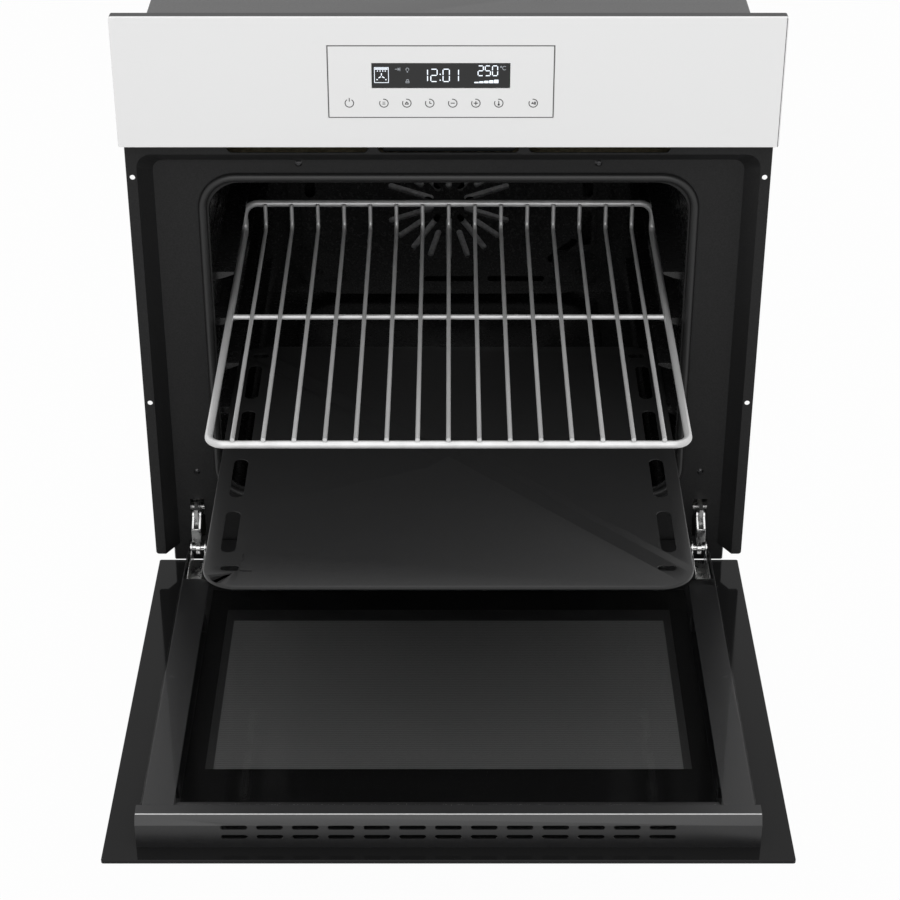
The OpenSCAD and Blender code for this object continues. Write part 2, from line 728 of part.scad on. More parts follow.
module lamp_lens() {
    lens_r = lamp_r + 6;
    color([0.8, 0.85, 0.85, 0.5]) translate([lamp_x, lamp_y, cavity_top]) difference() {
        rotate([180, 0, 0]) cylinder(h = 11, r1 = lens_r, r2 = lens_r * 0.6);
        translate([0, 0, eps]) rotate([180, 0, 0]) cylinder(h = 9, r1 = lens_r - 3, r2 = lens_r * 0.6 - 3);
    }
}

// ---- Cooling and electrics ----

module air_duct() {
    color("dimgray") {
        mid(casing_w - 2 * sheet, [plate_y, casing_d - sheet], [bay_z - sheet, bay_z]);
        mid(duct_w, [0, duct_end], [duct_top, duct_top + sheet]);
        both() span([duct_w / 2 - sheet, duct_w / 2], [0, duct_end], [bay_z, duct_top]);
    }
}

drum_x = [-150, -150 + drum_l];
housing_r = drum_r + 6;                  // outer radius of the housing round the drum
drum_y = duct_end + housing_r;
drum_z = bay_z + drum_r + 9;

module cooling_fan_housing() {
    color("gainsboro") difference() {
        union() {
            along_x([drum_x[0] - 6, drum_x[1] + 6]) {
                translate([drum_y, drum_z]) circle(housing_r);
                translate([duct_end, bay_z]) square([2 * housing_r, drum_z - bay_z]);
            }
            span([drum_x[0] - 6, drum_x[1] + 6], [duct_end, drum_y], [bay_z, duct_top + sheet]);
        }
        along_x([drum_x[0] - 4, drum_x[1] + 4]) {
            translate([drum_y, drum_z]) circle(housing_r - 2);
            translate([duct_end - 10, bay_z + 2]) square([housing_r + 10, duct_top - bay_z - 3]);
            translate([drum_y, drum_z]) rotate(20) square([2 * housing_r, 2 * housing_r]);
        }
        rod_x([drum_x[0] - 10, drum_x[1] + 10], drum_y, drum_z, 12);
    }
}

module cooling_fan_drum() {
    color("silver") difference() {
        union() {
            for (x = [drum_x[0], (drum_x[0] + drum_x[1]) / 2, drum_x[1] - 1.5])
                rod_x([x, x + 1.5], drum_y, drum_z, 2 * drum_r);
            for (i = [0 : drum_blades - 1]) translate([0, drum_y, drum_z])
                rotate([i * 360 / drum_blades, 0, 0])
                    span(drum_x, [drum_r - 8, drum_r - 0.5], [-0.4, 0.4]);
        }
        rod_x([drum_x[0] - 1, drum_x[1] + 1], drum_y, drum_z, 6 + 2 * pin_play);
    }
}

module cooling_fan_motor() {
    motor_x = drum_x[1] + 6;
    color("dimgray") {
        rod_x([drum_x[0] - 8, motor_x + 4], drum_y, drum_z, 6);
        rod_x([drum_x[0] - 8, drum_x[0] - 4], drum_y, drum_z, 12);
        rod_x([motor_x, motor_x + 8], drum_y, drum_z, 26);
        span([motor_x + 8, motor_x + 34], [drum_y - 26, drum_y + 26], [bay_z, drum_z + 22]);
        rod_x([motor_x + 34, motor_x + 44], drum_y, drum_z, 30);
    }
}

module safety_thermostat() {
    color("ivory") {
        rod_z(-100, duct_end - 90, [duct_top + sheet, duct_top + sheet + 9], 18);
        along_z([duct_top + sheet, duct_top + 2 * sheet]) translate([-100, duct_end - 90]) slot(38, 12);
        for (s = [-1, 1]) span([-100 + s * 5 - 1, -100 + s * 5 + 1], [duct_end - 94, duct_end - 86],
            [duct_top + sheet + 9, duct_top + sheet + 15]);
    }
}

board_x = [duct_w / 2 + 6, casing_w / 2 - 10];

module power_board() {
    board_z = bay_z + 6;
    color("seagreen") {
        span(board_x, [40, 210], [board_z, board_z + 1.6]);
        for (x = [board_x[0] + 5, board_x[1] - 5], y = [46, 204]) rod_z(x, y, [bay_z, board_z], 6);
    }
    color("black") {
        for (i = [0 : 4]) span([board_x[0] + 6, board_x[0] + 24], [60 + i * 26, 80 + i * 26],
            [board_z + 1.6, board_z + 18]);
        for (i = [0 : 2]) rod_z(board_x[1] - 14, 66 + i * 24, [board_z + 1.6, board_z + 24], 16);
        span([board_x[1] - 30, board_x[1] - 4], [150, 196], [board_z + 1.6, board_z + 28]);
    }
}

terminal_x = casing_w / 2 - 100;
terminal_z = casing_h - 35;
terminal_w = 60;
terminal_h = 30;

module terminal_block() {
    color("ivory") difference() {
        union() {
            span([terminal_x - terminal_w / 2, terminal_x + terminal_w / 2], [casing_d - 28, casing_d],
                 [terminal_z - terminal_h / 2, terminal_z + terminal_h / 2]);
            span([terminal_x - terminal_w / 2 - 6, terminal_x + terminal_w / 2 + 6],
                 [casing_d - sheet - 3, casing_d - sheet],
                 [terminal_z - terminal_h / 2 - 6, terminal_z + terminal_h / 2 + 2]);
        }
        for (i = [-2 : 2]) rod_y(terminal_x + i * 11, [casing_d - 10, casing_d + eps], terminal_z, 7);
    }
}

// ---- Control panel ----

glass_back = -front_out + panel_glass_t;
pad_offsets = [-81.6, -50.8, -30.4, -10, 10.5, 31.1, 51.5, 82.2];

module panel_outline(inset) {
    half = panel_w / 2 - inset;
    round_rect([-half, half], [panel_z + inset, panel_z + panel_h - inset], panel_r);
}

module unit_outline(inset) {
    translate([unit_x, unit_z]) square([unit_w - 2 * inset, unit_h - 2 * inset], center = true);
}

module display_outline(inset) {
    translate([unit_x, display_z]) square([display_w - 2 * inset, display_h - 2 * inset], center = true);
}

module control_panel_glass() {
    color("whitesmoke") along_y([-front_out, glass_back]) difference() {
        panel_outline(0);
        unit_outline(-panel_gap);
    }
}

module control_unit_glass() {
    color("white") along_y([-front_out, glass_back]) difference() {
        unit_outline(0);
        display_outline(-panel_gap);
    }
}

module display_window() {
    color([0.1, 0.1, 0.11]) along_y([-front_out, glass_back]) display_outline(0);
}

module control_panel_frame() {
    step_y = -front_out + rim_d;
    color([0.08, 0.08, 0.09]) difference() {
        union() {
            along_y([glass_back, step_y]) panel_outline(0);
            along_y([step_y, -sheet]) panel_outline(7);
            for (s = [-1, 1], v = [-1, 1]) rod_y(unit_x + s * (unit_w / 2 - 3), [glass_back, board_y],
                unit_z + v * (unit_h / 2 - 3), 5);
        }
        difference() {
            along_y([glass_back + 1.5, 0]) panel_outline(10);
            for (s = [-1, 1], v = [-1, 1]) rod_y(unit_x + s * (unit_w / 2 - 3), [glass_back, board_y],
                unit_z + v * (unit_h / 2 - 3), 5);
        }
        along_y([glass_back - eps, glass_back + 2]) unit_outline(6);
    }
}
board_y = glass_back + 6;

module display_board() {
    color("seagreen") along_y([board_y, board_y + 1.6]) unit_outline(1);
    color("black") along_y([glass_back, board_y]) display_outline(-2);
}

module touch_pads() {
    color("gold") for (x = pad_offsets) {
        rod_y(unit_x + x, [glass_back, glass_back + 1], pad_z, pad_d);
        rod_y(unit_x + x, [glass_back + 1, board_y], pad_z, pad_d * 0.5);
    }
}

// ---- Hinges, drawn for the right side ----

catch_y = 40;
catch_z = axis_z + 28;
latch_y = axis_y + 5.4;
latch_z = axis_z + 36;

module hinge_receiver() {
    color("silver") {
        for (s = [-1, 1]) span([hinge_x + s * 9 - 0.75, hinge_x + s * 9 + 0.75], [plate_y, catch_y + 24],
            [axis_z + 4, axis_z + 54]);
        span([hinge_x - 9.75, hinge_x + 9.75], [catch_y + 22.5, catch_y + 24], [axis_z + 4, axis_z + 54]);
        rod_x([hinge_x - 8.25, hinge_x + 8.25], catch_y, catch_z, 8);
    }
}

module hinge_arm() {
    color("silver") difference() {
        along_x([hinge_x - arm_t / 2, hinge_x + arm_t / 2]) {
            translate([axis_y, axis_z]) circle(7);
            polygon([[axis_y - 5.5, axis_z], [axis_y - 3, axis_z + 46], [seal_y - 2, axis_z + 47],
                     [catch_y + 12, axis_z + 42], [catch_y + 16, axis_z + 32], [catch_y + 16, axis_z + 18],
                     [catch_y + 5, axis_z + 14], [plate_y + 2, axis_z + 9], [axis_y + 5.5, axis_z - 1]]);
        }
        rod_x([hinge_x - arm_t, hinge_x + arm_t], axis_y, axis_z, 2 * (pin_r + pin_play));
        rod_x([hinge_x - arm_t, hinge_x + arm_t], latch_y, latch_z, 2 * (latch_pin_r + pin_play));
        rod_x([hinge_x - arm_t, hinge_x + arm_t], catch_y, catch_z, 8 + 0.6);
        span([hinge_x - arm_t, hinge_x + arm_t], [catch_y - 4.3, catch_y + 4.3], [axis_z, catch_z]);
    }
}
latch_pin_r = 1.5;

module hinge_latch() {
    half = latch_w / 2;
    gap = arm_t / 2 + 0.3;
    color("silver") {
        for (s = [-1, 1]) along_x(s > 0 ? [hinge_x + gap, hinge_x + half] : [hinge_x - half, hinge_x - gap]) {
            translate([latch_y, latch_z]) circle(4);
            polygon([[latch_y - 4, latch_z], [latch_y + 4, latch_z], [latch_y - 4, latch_z - 14],
                     [latch_y - 11, latch_z - 22], [latch_y - 14.5, latch_z - 22],
                     [latch_y - 14.5, latch_z - 8]]);
        }
        span([hinge_x - half, hinge_x + half], [latch_y - 16, latch_y - 14.5], [latch_z - 23, latch_z - 8]);
        rod_x([hinge_x - half, hinge_x + half], latch_y, latch_z, 2 * latch_pin_r);
    }
}

module left_hinge_receiver() { mirror([1, 0, 0]) hinge_receiver(); }
module right_hinge_receiver() { hinge_receiver(); }
module left_hinge_arm() { mirror([1, 0, 0]) hinge_arm(); }
module right_hinge_arm() { hinge_arm(); }
module left_hinge_latch() { mirror([1, 0, 0]) hinge_latch(); }
module right_hinge_latch() { hinge_latch(); }

// ---- Door, drawn open: s runs from the hinge axis to the top edge, t up from the outer face ----

s_low = -axis_up;
s_top = door_h - axis_up;
inner_end = s_top - 34.6;                // upper edge of the inner glass
glass_seat = door_t - inner_t;           // underside of the inner glass
trim_face = s_top - 16.6;                // outside of the slotted face of the top trim
profile_x = inner_w / 2 - 0.8;           // outside of the side profiles
hinge_room = 62;                         // length left open for the hinge arm
shoulder_t = 8.2;                        // depth of the shoulder that clears the slanted step
trim_rows = [15.6, 25.9];                // rows of slots in the top trim, from the outer face
middle_seat = 17;                        // underside of the middle glass

function door_y(s) = [axis_y - s[1], axis_y - s[0]];
function door_t_z(t) = [door_z + t[0], door_z + t[1]];
function door_points(list) = [for (p = list) [axis_y - p[0], door_z + p[1]]];
module door_box(x, s, t) { span(x, door_y(s), door_t_z(t)); }

module door_outer_glass() {
    color([0.05, 0.05, 0.06]) along_z(door_t_z([0, outer_t]))
        round_rect([-door_w / 2, door_w / 2], door_y([s_low, s_top]), 2);
}

module door_middle_glass() {
    color([0.5, 0.55, 0.55, 0.5])
        door_box([-inner_w / 2 + 22, inner_w / 2 - 22], [inner_start + 6, inner_end - 8],
            [middle_seat, middle_seat + middle_t]);
}

module door_inner_glass() {
    cut_x = 21.5;
    cut_s = 34;
    half = inner_w / 2;
    color([0.3, 0.32, 0.32, 0.5]) along_z(door_t_z([glass_seat, door_t]))
        polygon([[-half, axis_y - inner_end], [half, axis_y - inner_end],
                 [half, axis_y - inner_start - cut_s], [half - cut_x, axis_y - inner_start],
                 [-half + cut_x, axis_y - inner_start], [-half, axis_y - inner_start - cut_s]]);
}

module door_profile() {
    web = [profile_x - 1.2, profile_x];
    low = [s_low + 6.8, trim_face - 8];
    color([0.2, 0.2, 0.21]) {
        door_box(web, low, [outer_t, glass_seat]);
        door_box([profile_x - 27, profile_x - 1.2], low, [outer_t, outer_t + 1.2]);
        door_box([profile_x - 27, profile_x - 1.2], [hinge_room, low[1]], [glass_seat - 1.2, glass_seat]);
        for (s = [100, inner_end - 60])
            door_box([profile_x - 26, profile_x - 18.5], [s, s + 14], [outer_t + 1.2, middle_seat]);
    }
}

module left_door_profile() { mirror([1, 0, 0]) door_profile(); }
module right_door_profile() { door_profile(); }

module door_top_trim() {
    half = trim_w / 2;
    wall = 1.5;
    shoulder = [trim_face - shoulder_t * step_fall / step_d, door_t - shoulder_t];
    color([0.2, 0.2, 0.21]) difference() {
        union() {
            along_x([-half, half]) polygon(door_points([
                [inner_end + 0.4, door_t], [shoulder[0], door_t], [trim_face, shoulder[1]],
                [trim_face, outer_t], [trim_face - wall, outer_t],
                [trim_face - wall, shoulder[1] - wall / 2],
                [shoulder[0] - wall / 2, door_t - wall], [inner_end + 0.4, door_t - wall]]));
            both() along_x([half - wall, half]) polygon(door_points([
                [trim_face - 12, outer_t], [trim_face - wall, outer_t],
                [trim_face - wall, shoulder[1] - wall / 2],
                [shoulder[0] - wall / 2, door_t - wall], [trim_face - 12, door_t - wall]]));
            door_box([-profile_x + 30, profile_x - 30], [inner_end - 8, inner_end + 6],
                [glass_seat - wall, glass_seat]);
            door_box([-profile_x + 30, profile_x - 30], [inner_end + 6 - wall, inner_end + 6],
                [glass_seat, door_t - wall]);
        }
        for (i = [0 : trim_slots - 1], t = trim_rows)
            translate([(i - (trim_slots - 1) / 2) * trim_pitch, axis_y - trim_face + 3, door_z + t])
                rotate([90, 0, 0]) linear_extrude(6) slot(trim_slot_l, trim_slot_h);
    }
}

module door_bottom_rail() {
    half = profile_x - 27;
    color([0.2, 0.2, 0.21]) difference() {
        union() {
            door_box([-half, half], [s_low + 6.8, s_low + 8], [outer_t, glass_seat]);
            door_box([-half, half], [s_low + 8, inner_start + 12], [glass_seat - 1.2, glass_seat]);
            door_box([-half, half], [s_low + 8, inner_start + 2], [outer_t, outer_t + 1.2]);
        }
        for (i = [-6 : 6]) translate([i * trim_pitch, axis_y - s_low, door_z + door_t / 2])
            rotate([90, 0, 0]) linear_extrude(12) slot(trim_slot_l, trim_slot_h);
    }
}

module hinge_channel() {
    wall = 1.2;
    half = 7.5;
    low_t = 8;
    color("silver") {
        door_box([hinge_x - half, hinge_x + half], [-6, 170], [low_t, low_t + wall]);
        for (s = [-1, 1]) difference() {
            x = hinge_x + s * (half - wall / 2);
            along_x([x - wall / 2, x + wall / 2]) {
                translate([door_y([-6, 170])[0], door_z + low_t]) square([176, 18]);
                translate([axis_y, axis_z]) circle(6.5);
                translate([axis_y - 6, door_z + low_t]) square([12, axis_z - door_z - low_t]);
            }
            rod_x([x - 2, x + 2], axis_y, axis_z, 2 * pin_r);
        }
        for (s = [20, 150]) door_box([hinge_x - half, hinge_x + half], [s, s + 10], [outer_t + 1.2, low_t]);
    }
}

module left_hinge_channel() { mirror([1, 0, 0]) hinge_channel(); }
module right_hinge_channel() { hinge_channel(); }

module hinge_pins() {
    color("silver") both() rod_x([hinge_x - 8.2, hinge_x + 8.2], axis_y, axis_z, 2 * pin_r);
}

module hinge_springs() {
    coils = 24;
    pitch = 3.4;
    core = 2;
    waves = [for (i = [0 : 2 * coils]) [i % 2 == 0 ? core + 1 : core + 3, i * pitch / 2]];
    hook = [[core, coils * pitch], [core, (coils + 3) * pitch], [core + 3, (coils + 3) * pitch],
            [core + 3, (coils + 4) * pitch], [0, (coils + 4) * pitch]];
    color("gray") both() translate([hinge_x, axis_y - 70, door_z + 9.2 + core + 3.3])
        rotate([90, 0, 0]) rotate_extrude() polygon(concat([[0, 0]], waves, hook));
}

// ---- Handle ----

module handle_bar() {
    color("silver") {
        rod_x([-handle_l / 2, handle_l / 2], bar_y, bar_z, handle_d);
        for (s = [-1, 1]) translate([s * handle_l / 2, bar_y, bar_z]) sphere(d = handle_d);
    }
}

module handle_posts() {
    color("silver") difference() {
        both() union() {
            rod_z(handle_post_x, bar_y, [bar_z, door_z], handle_post_d);
            rod_z(handle_post_x, bar_y, [door_z - 2, door_z], handle_post_d + 4);
        }
        rod_x([-handle_l / 2, handle_l / 2], bar_y, bar_z, handle_d);
    }
}

// ---- Wire rack ----

module rack_frame() {
    d = rack_rod;
    half = rack_w / 2 - d / 2;
    r = 14;
    back = rack_y + rack_l;
    bend_r = 9;
    top = rack_z + rack_rise;
    color("silver") {
        rod_x([-half + r, half - r], rack_y + d / 2, rack_z, d);
        rod_x([-half + r, half - r], back, top, d);
        both() {
            translate([half - r, rack_y + d / 2 + r, rack_z]) rotate([0, 0, -90]) bend(r, d);
            rod_y(half, [rack_y + d / 2 + r, back - bend_r], rack_z, d);
            translate([half, back - bend_r, rack_z + bend_r])
                rotate([90, 0, 90]) rotate([0, 0, -90]) bend(bend_r, d);
            rod_z(half, back, [rack_z + bend_r, top - r], d);
            translate([half - r, back, top - r]) rotate([90, 0, 0]) bend(r, d);
        }
    }
}

module rack_wires() {
    d = rack_wire;
    count = floor((rack_w / 2 - 20) / wire_pitch);
    back = rack_y + rack_l - rack_rod / 2 - d / 2;
    bend_r = 8;
    color("silver") {
        for (i = [-count : count]) {
            rod_y(i * wire_pitch, [rack_y + 2, back - bend_r], wire_z, d);
            translate([i * wire_pitch, back - bend_r, wire_z + bend_r])
                rotate([90, 0, 90]) rotate([0, 0, -90]) bend(bend_r, d);
            rod_z(i * wire_pitch, back, [wire_z + bend_r, rack_z + rack_rise + 1], d);
        }
        rod_x([-rack_w / 2 + rack_rod, rack_w / 2 - rack_rod], rack_y + 242, wire_z - d / 2 - 2.5, 5);
    }
}

// ---- Baking tray ----

module tray_outline(inset, r) {
    round_rect([-tray_w / 2 + inset[0], tray_w / 2 - inset[0]],
               [tray_y + inset[1], tray_y + tray_l - inset[1]], r);
}

module tray_well(grow) {
    rim = [tray_rim, tray_end_rim];
    slope = [tray_slope, tray_slope];
    hull() {
        along_z([tray_top - eps, tray_top + (grow > 0 ? 0 : eps)])
            tray_outline(rim - [grow, grow], 30 + grow);
        along_z([tray_top - tray_depth + tray_t - grow, tray_top - tray_depth + tray_t - grow + eps])
            tray_outline(rim + slope - [grow, grow], 22 + grow);
    }
}

module baking_tray() {
    slot_x = tray_w / 2 - tray_rim / 2 - 1;
    color([0.16, 0.16, 0.17]) difference() {
        union() {
            along_z([tray_top - tray_lip, tray_top]) difference() {
                tray_outline([0, 0], 30);
                tray_outline([tray_t, tray_t], 30 - tray_t);
            }
            along_z([tray_top - tray_t, tray_top]) tray_outline([0.5, 0.5], 29.5);
            tray_well(tray_t);
        }
        tray_well(0);
        along_z([tray_top - 2 * tray_t, tray_top + eps]) for (s = [-1, 1]) {
            for (i = [0 : 3]) translate([s * slot_x, tray_y + 87 + i * (tray_l - 162) / 3])
                rotate(90) slot(tray_slot_l, tray_slot_w);
            for (y = [28, tray_l - 20]) translate([s * (slot_x - 4), tray_y + y]) slot(17, 9);
        }
    }
}

base_plate();
left_side_panel();
right_side_panel();
top_cover();
rear_cover();
front_frame();
front_screws();
cavity_shell();
left_shelf_rails();
right_shelf_rails();
insulation();
door_seal();
fan_baffle();
baffle_screws();
convection_fan();
convection_motor();
ring_element();
grill_element();
bottom_element();
temperature_probe();
lamp_holder();
lamp_bulb();
lamp_lens();
air_duct();
cooling_fan_housing();
cooling_fan_drum();
cooling_fan_motor();
safety_thermostat();
control_panel_glass();
control_panel_frame();
control_unit_glass();
display_window();
display_board();
touch_pads();
power_board();
terminal_block();
left_hinge_receiver();
right_hinge_receiver();
left_hinge_arm();
right_hinge_arm();
left_hinge_latch();
right_hinge_latch();
door_outer_glass();
door_middle_glass();
door_inner_glass();
left_door_profile();
right_door_profile();
door_top_trim();
door_bottom_rail();
left_hinge_channel();
right_hinge_channel();
hinge_pins();
hinge_springs();
handle_bar();
handle_posts();
rack_frame();
rack_wires();
baking_tray();
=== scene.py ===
"""Finishes of a built-in wall oven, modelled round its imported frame.

Every place comes from the frame's own pieces. Sizes that a maker would change are properties.
"""

import json
import math

import bmesh
import bpy
from bpy.props import FloatProperty, FloatVectorProperty, IntProperty, PointerProperty
from mathutils import Matrix, Vector


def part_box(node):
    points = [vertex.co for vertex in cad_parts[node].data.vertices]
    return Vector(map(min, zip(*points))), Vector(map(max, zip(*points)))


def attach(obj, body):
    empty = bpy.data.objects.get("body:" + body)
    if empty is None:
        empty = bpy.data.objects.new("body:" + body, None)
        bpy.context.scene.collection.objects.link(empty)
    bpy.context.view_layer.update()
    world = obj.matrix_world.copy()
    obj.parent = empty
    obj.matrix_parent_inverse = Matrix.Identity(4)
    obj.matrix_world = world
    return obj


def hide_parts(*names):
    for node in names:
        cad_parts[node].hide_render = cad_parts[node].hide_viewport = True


bl_info = {
    "name": "Wall Oven Finishes",
    "version": (1, 0, 0),
    "blender": (4, 5, 0),
    "location": "3D View > Sidebar > Oven",
    "description": "Dresses the frame of a built-in wall oven with modelled pieces and finishes",
    "category": "Object",
}

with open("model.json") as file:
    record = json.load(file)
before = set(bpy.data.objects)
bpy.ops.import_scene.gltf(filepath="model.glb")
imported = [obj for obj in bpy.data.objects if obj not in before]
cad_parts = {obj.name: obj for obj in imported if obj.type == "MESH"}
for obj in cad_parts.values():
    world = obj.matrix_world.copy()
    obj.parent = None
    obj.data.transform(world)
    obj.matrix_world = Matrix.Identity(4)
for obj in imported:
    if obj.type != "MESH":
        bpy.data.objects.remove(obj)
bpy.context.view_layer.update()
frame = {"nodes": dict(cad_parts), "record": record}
NODES = frame["nodes"]
MM = 0.001
SMOOTH_ANGLE = math.radians(32)          # faces that meet at less than this are shaded as one


# ---- Mesh helpers ----

def start_mesh():
    return bmesh.new()


def finish_piece(name, bm, material, body, replaces=(), recalc=True):
    """Turns a bmesh into a named piece that rides on a body."""
    if recalc:
        bmesh.ops.remove_doubles(bm, verts=bm.verts, dist=0.002 * MM)
        bmesh.ops.recalc_face_normals(bm, faces=bm.faces)
    mesh = bpy.data.meshes.new(name)
    bm.to_mesh(mesh)
    bm.free()
    mesh.shade_smooth()
    mesh.set_sharp_from_angle(angle=SMOOTH_ANGLE)
    piece = bpy.data.objects.new(name, mesh)
    bpy.context.scene.collection.objects.link(piece)
    mesh.materials.append(material)
    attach(piece, body)
    if replaces:
        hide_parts(*replaces)
    return piece


def apply_modifiers(piece):
    """Bakes a piece's modifiers into its mesh."""
    depsgraph = bpy.context.evaluated_depsgraph_get()
    mesh = bpy.data.meshes.new_from_object(piece.evaluated_get(depsgraph))
    old = piece.data
    piece.modifiers.clear()
    piece.data = mesh
    bpy.data.meshes.remove(old)


def soften(piece, width, angle=30):
    """Rounds the sharp edges of a piece, so that they catch the light."""
    bevel = piece.modifiers.new("soft edges", "BEVEL")
    bevel.width = width
    bevel.segments = 2
    bevel.limit_method = "ANGLE"
    bevel.angle_limit = math.radians(angle)
    bevel.harden_normals = True
    bevel.use_clamp_overlap = True
    apply_modifiers(piece)


def cad_copy(node):
    """A merged bmesh of a frame node, with flat areas joined into single faces."""
    bm = bmesh.new()
    bm.from_mesh(NODES[node].data)
    bmesh.ops.remove_doubles(bm, verts=bm.verts, dist=0.001 * MM)
    bmesh.ops.dissolve_limit(bm, angle_limit=math.radians(0.6), use_dissolve_boundaries=False,
                             verts=bm.verts, edges=bm.edges, delimit={"NORMAL"})
    return bm


def block(bm, low, high, bevel=0.0):
    """A box between two corners, its edges rounded."""
    size = Vector(high) - Vector(low)
    centre = (Vector(high) + Vector(low)) / 2
    place = Matrix.Translation(centre) @ Matrix.Diagonal((*size, 1))
    made = bmesh.ops.create_cube(bm, size=1.0, matrix=place)
    if bevel:
        edges = list({edge for vert in made["verts"] for edge in vert.link_edges})
        bmesh.ops.bevel(bm, geom=edges, offset=bevel, segments=2, profile=0.5,
                        affect="EDGES", material=-1, clamp_overlap=True)


def tube(bm, start, end, radius, segments):
    """A straight round bar between two points."""
    axis = Vector(end) - Vector(start)
    turn = axis.to_track_quat("Z", "Y").to_matrix().to_4x4()
    place = Matrix.Translation((Vector(start) + Vector(end)) / 2) @ turn
    bmesh.ops.create_cone(bm, cap_ends=True, segments=segments, radius1=radius, radius2=radius,
                          depth=axis.length, matrix=place)


def rounded_ring(bm, low, high, radius, height):
    """One closed loop of edges: a level rectangle with round corners."""
    corners = [(low[0], low[1]), (high[0], low[1]), (high[0], high[1]), (low[0], high[1])]
    verts = [bm.verts.new((*corner, height)) for corner in corners]
    bm.faces.new(verts)
    made = bmesh.ops.bevel(bm, geom=verts, offset=radius, segments=10, profile=0.5,
                           affect="VERTICES", material=-1, clamp_overlap=True)
    face = max((f for f in bm.faces if f.is_valid and set(made["verts"]) & set(f.verts)),
               key=lambda f: len(f.verts))
    edges = list(face.edges)
    bm.faces.remove(face)
    return edges


def loft(bm, rings):
    """Joins closed loops one after another into a skin, and closes the last one."""
    for one, other in zip(rings, rings[1:]):
        bmesh.ops.bridge_loops(bm, edges=one + other)
    bmesh.ops.contextual_create(bm, geom=rings[-1])


def bent_bar(bm, start, heading, radius, moves, sides):
    """A closed round bar that walks through straight runs and bends, back to its start.

    A move is ("go", length) or ("turn", axis, bend radius, degrees); a turn is to the left of its axis.
    """
    here, way = Vector(start), Vector(heading).normalized()
    place = Matrix.Translation(here) @ way.to_track_quat("Z", "Y").to_matrix().to_4x4()
    made = bmesh.ops.create_circle(bm, cap_ends=False, segments=sides, radius=radius, matrix=place)
    ring = list({edge for vert in made["verts"] for edge in vert.link_edges})
    for move in moves:
        if move[0] == "go":
            out = bmesh.ops.extrude_edge_only(bm, edges=ring)["geom"]
            here = here + way * move[1]
            moved = [v for v in out if isinstance(v, bmesh.types.BMVert)]
            bmesh.ops.translate(bm, verts=moved, vec=way * move[1])
            ring = [e for e in out if isinstance(e, bmesh.types.BMEdge) and len(e.link_faces) == 1]
        else:
            axis, bend, angle = Vector(move[1]).normalized(), move[2], math.radians(move[3])
            centre = here + axis.cross(way).normalized() * bend
            steps = max(3, round(abs(move[3]) / 9))
            out = bmesh.ops.spin(bm, geom=ring, cent=centre, axis=axis, angle=angle, steps=steps)["geom_last"]
            ring = [e for e in out if isinstance(e, bmesh.types.BMEdge)]
            turn = Matrix.Rotation(angle, 3, axis)
            here = centre + turn @ (here - centre)
            way = turn @ way


def carve(piece, cutter_bm):
    """Cuts the shapes in a bmesh out of a piece."""
    mesh = bpy.data.meshes.new("cutter")
    bmesh.ops.recalc_face_normals(cutter_bm, faces=cutter_bm.faces)
    cutter_bm.to_mesh(mesh)
    cutter_bm.free()
    mesh.materials.append(piece.data.materials[0])
    cutter = bpy.data.objects.new("cutter", mesh)
    bpy.context.scene.collection.objects.link(cutter)
    cut = piece.modifiers.new("cut", "BOOLEAN")
    cut.operation = "DIFFERENCE"
    cut.solver = "MANIFOLD"
    cut.object = cutter
    apply_modifiers(piece)
    bpy.data.objects.remove(cutter)


def slot_cutter(bm, centre, length, width, depth, run, steps=8):
    """An upright cutter with round ends, long in the direction of its run."""
    run, push = Vector(run), Vector((0, 0, 1))
    side = push.cross(run)
    half = (length - width) / 2
    points = []
    for end, turn in ((1, -90), (-1, 90)):
        for step in range(steps + 1):
            a = math.radians(turn + 180 * step / steps)
            points.append(run * (end * half + math.cos(a) * width / 2) + side * math.sin(a) * width / 2)
    low = [bm.verts.new(Vector(centre) + p - push * depth / 2) for p in points]
    face = bm.faces.new(low)
    out = bmesh.ops.extrude_face_region(bm, geom=[face])["geom"]
    bmesh.ops.translate(bm, verts=[v for v in out if isinstance(v, bmesh.types.BMVert)], vec=push * depth)


# ---- Finishes ----

def new_material(name, color, rough, metallic=0.0, **sockets):
    """A named material, with its fixed values on the shader's own sockets."""
    material = bpy.data.materials.new(name)
    material.use_nodes = True
    shader = material.node_tree.nodes["Principled BSDF"]
    shader.inputs["Base Color"].default_value = (*color, 1.0)
    shader.inputs["Roughness"].default_value = rough
    shader.inputs["Metallic"].default_value = metallic
    for socket, value in sockets.items():
        shader.inputs[socket.replace("_", " ")].default_value = value
    return material


def add_node(material, kind, **inputs):
    """A node in a material, with values for its sockets."""
    node = material.node_tree.nodes.new(kind)
    for socket, value in inputs.items():
        node.inputs[socket.replace("_", " ")].default_value = value
    return node


def wire(material, source, output, target, socket):
    material.node_tree.links.new(source.outputs[output], target.inputs[socket])


def object_place(material, scale):
    """Object coordinates through a Mapping node, in metres."""
    coords = add_node(material, "ShaderNodeTexCoord")
    mapping = add_node(material, "ShaderNodeMapping", Scale=scale)
    wire(material, coords, "Object", mapping, "Vector")
    return mapping


def ramp(material, source, output, stops):
    """A colour ramp fed by a value: stops are (position, (r, g, b))."""
    node = add_node(material, "ShaderNodeValToRGB")
    wire(material, source, output, node, "Fac")
    elements = node.color_ramp.elements
    while len(elements) < len(stops):
        elements.new(0.5)
    for element, (position, color) in zip(elements, stops):
        element.position = position
        element.color = (*color, 1.0)
    return node


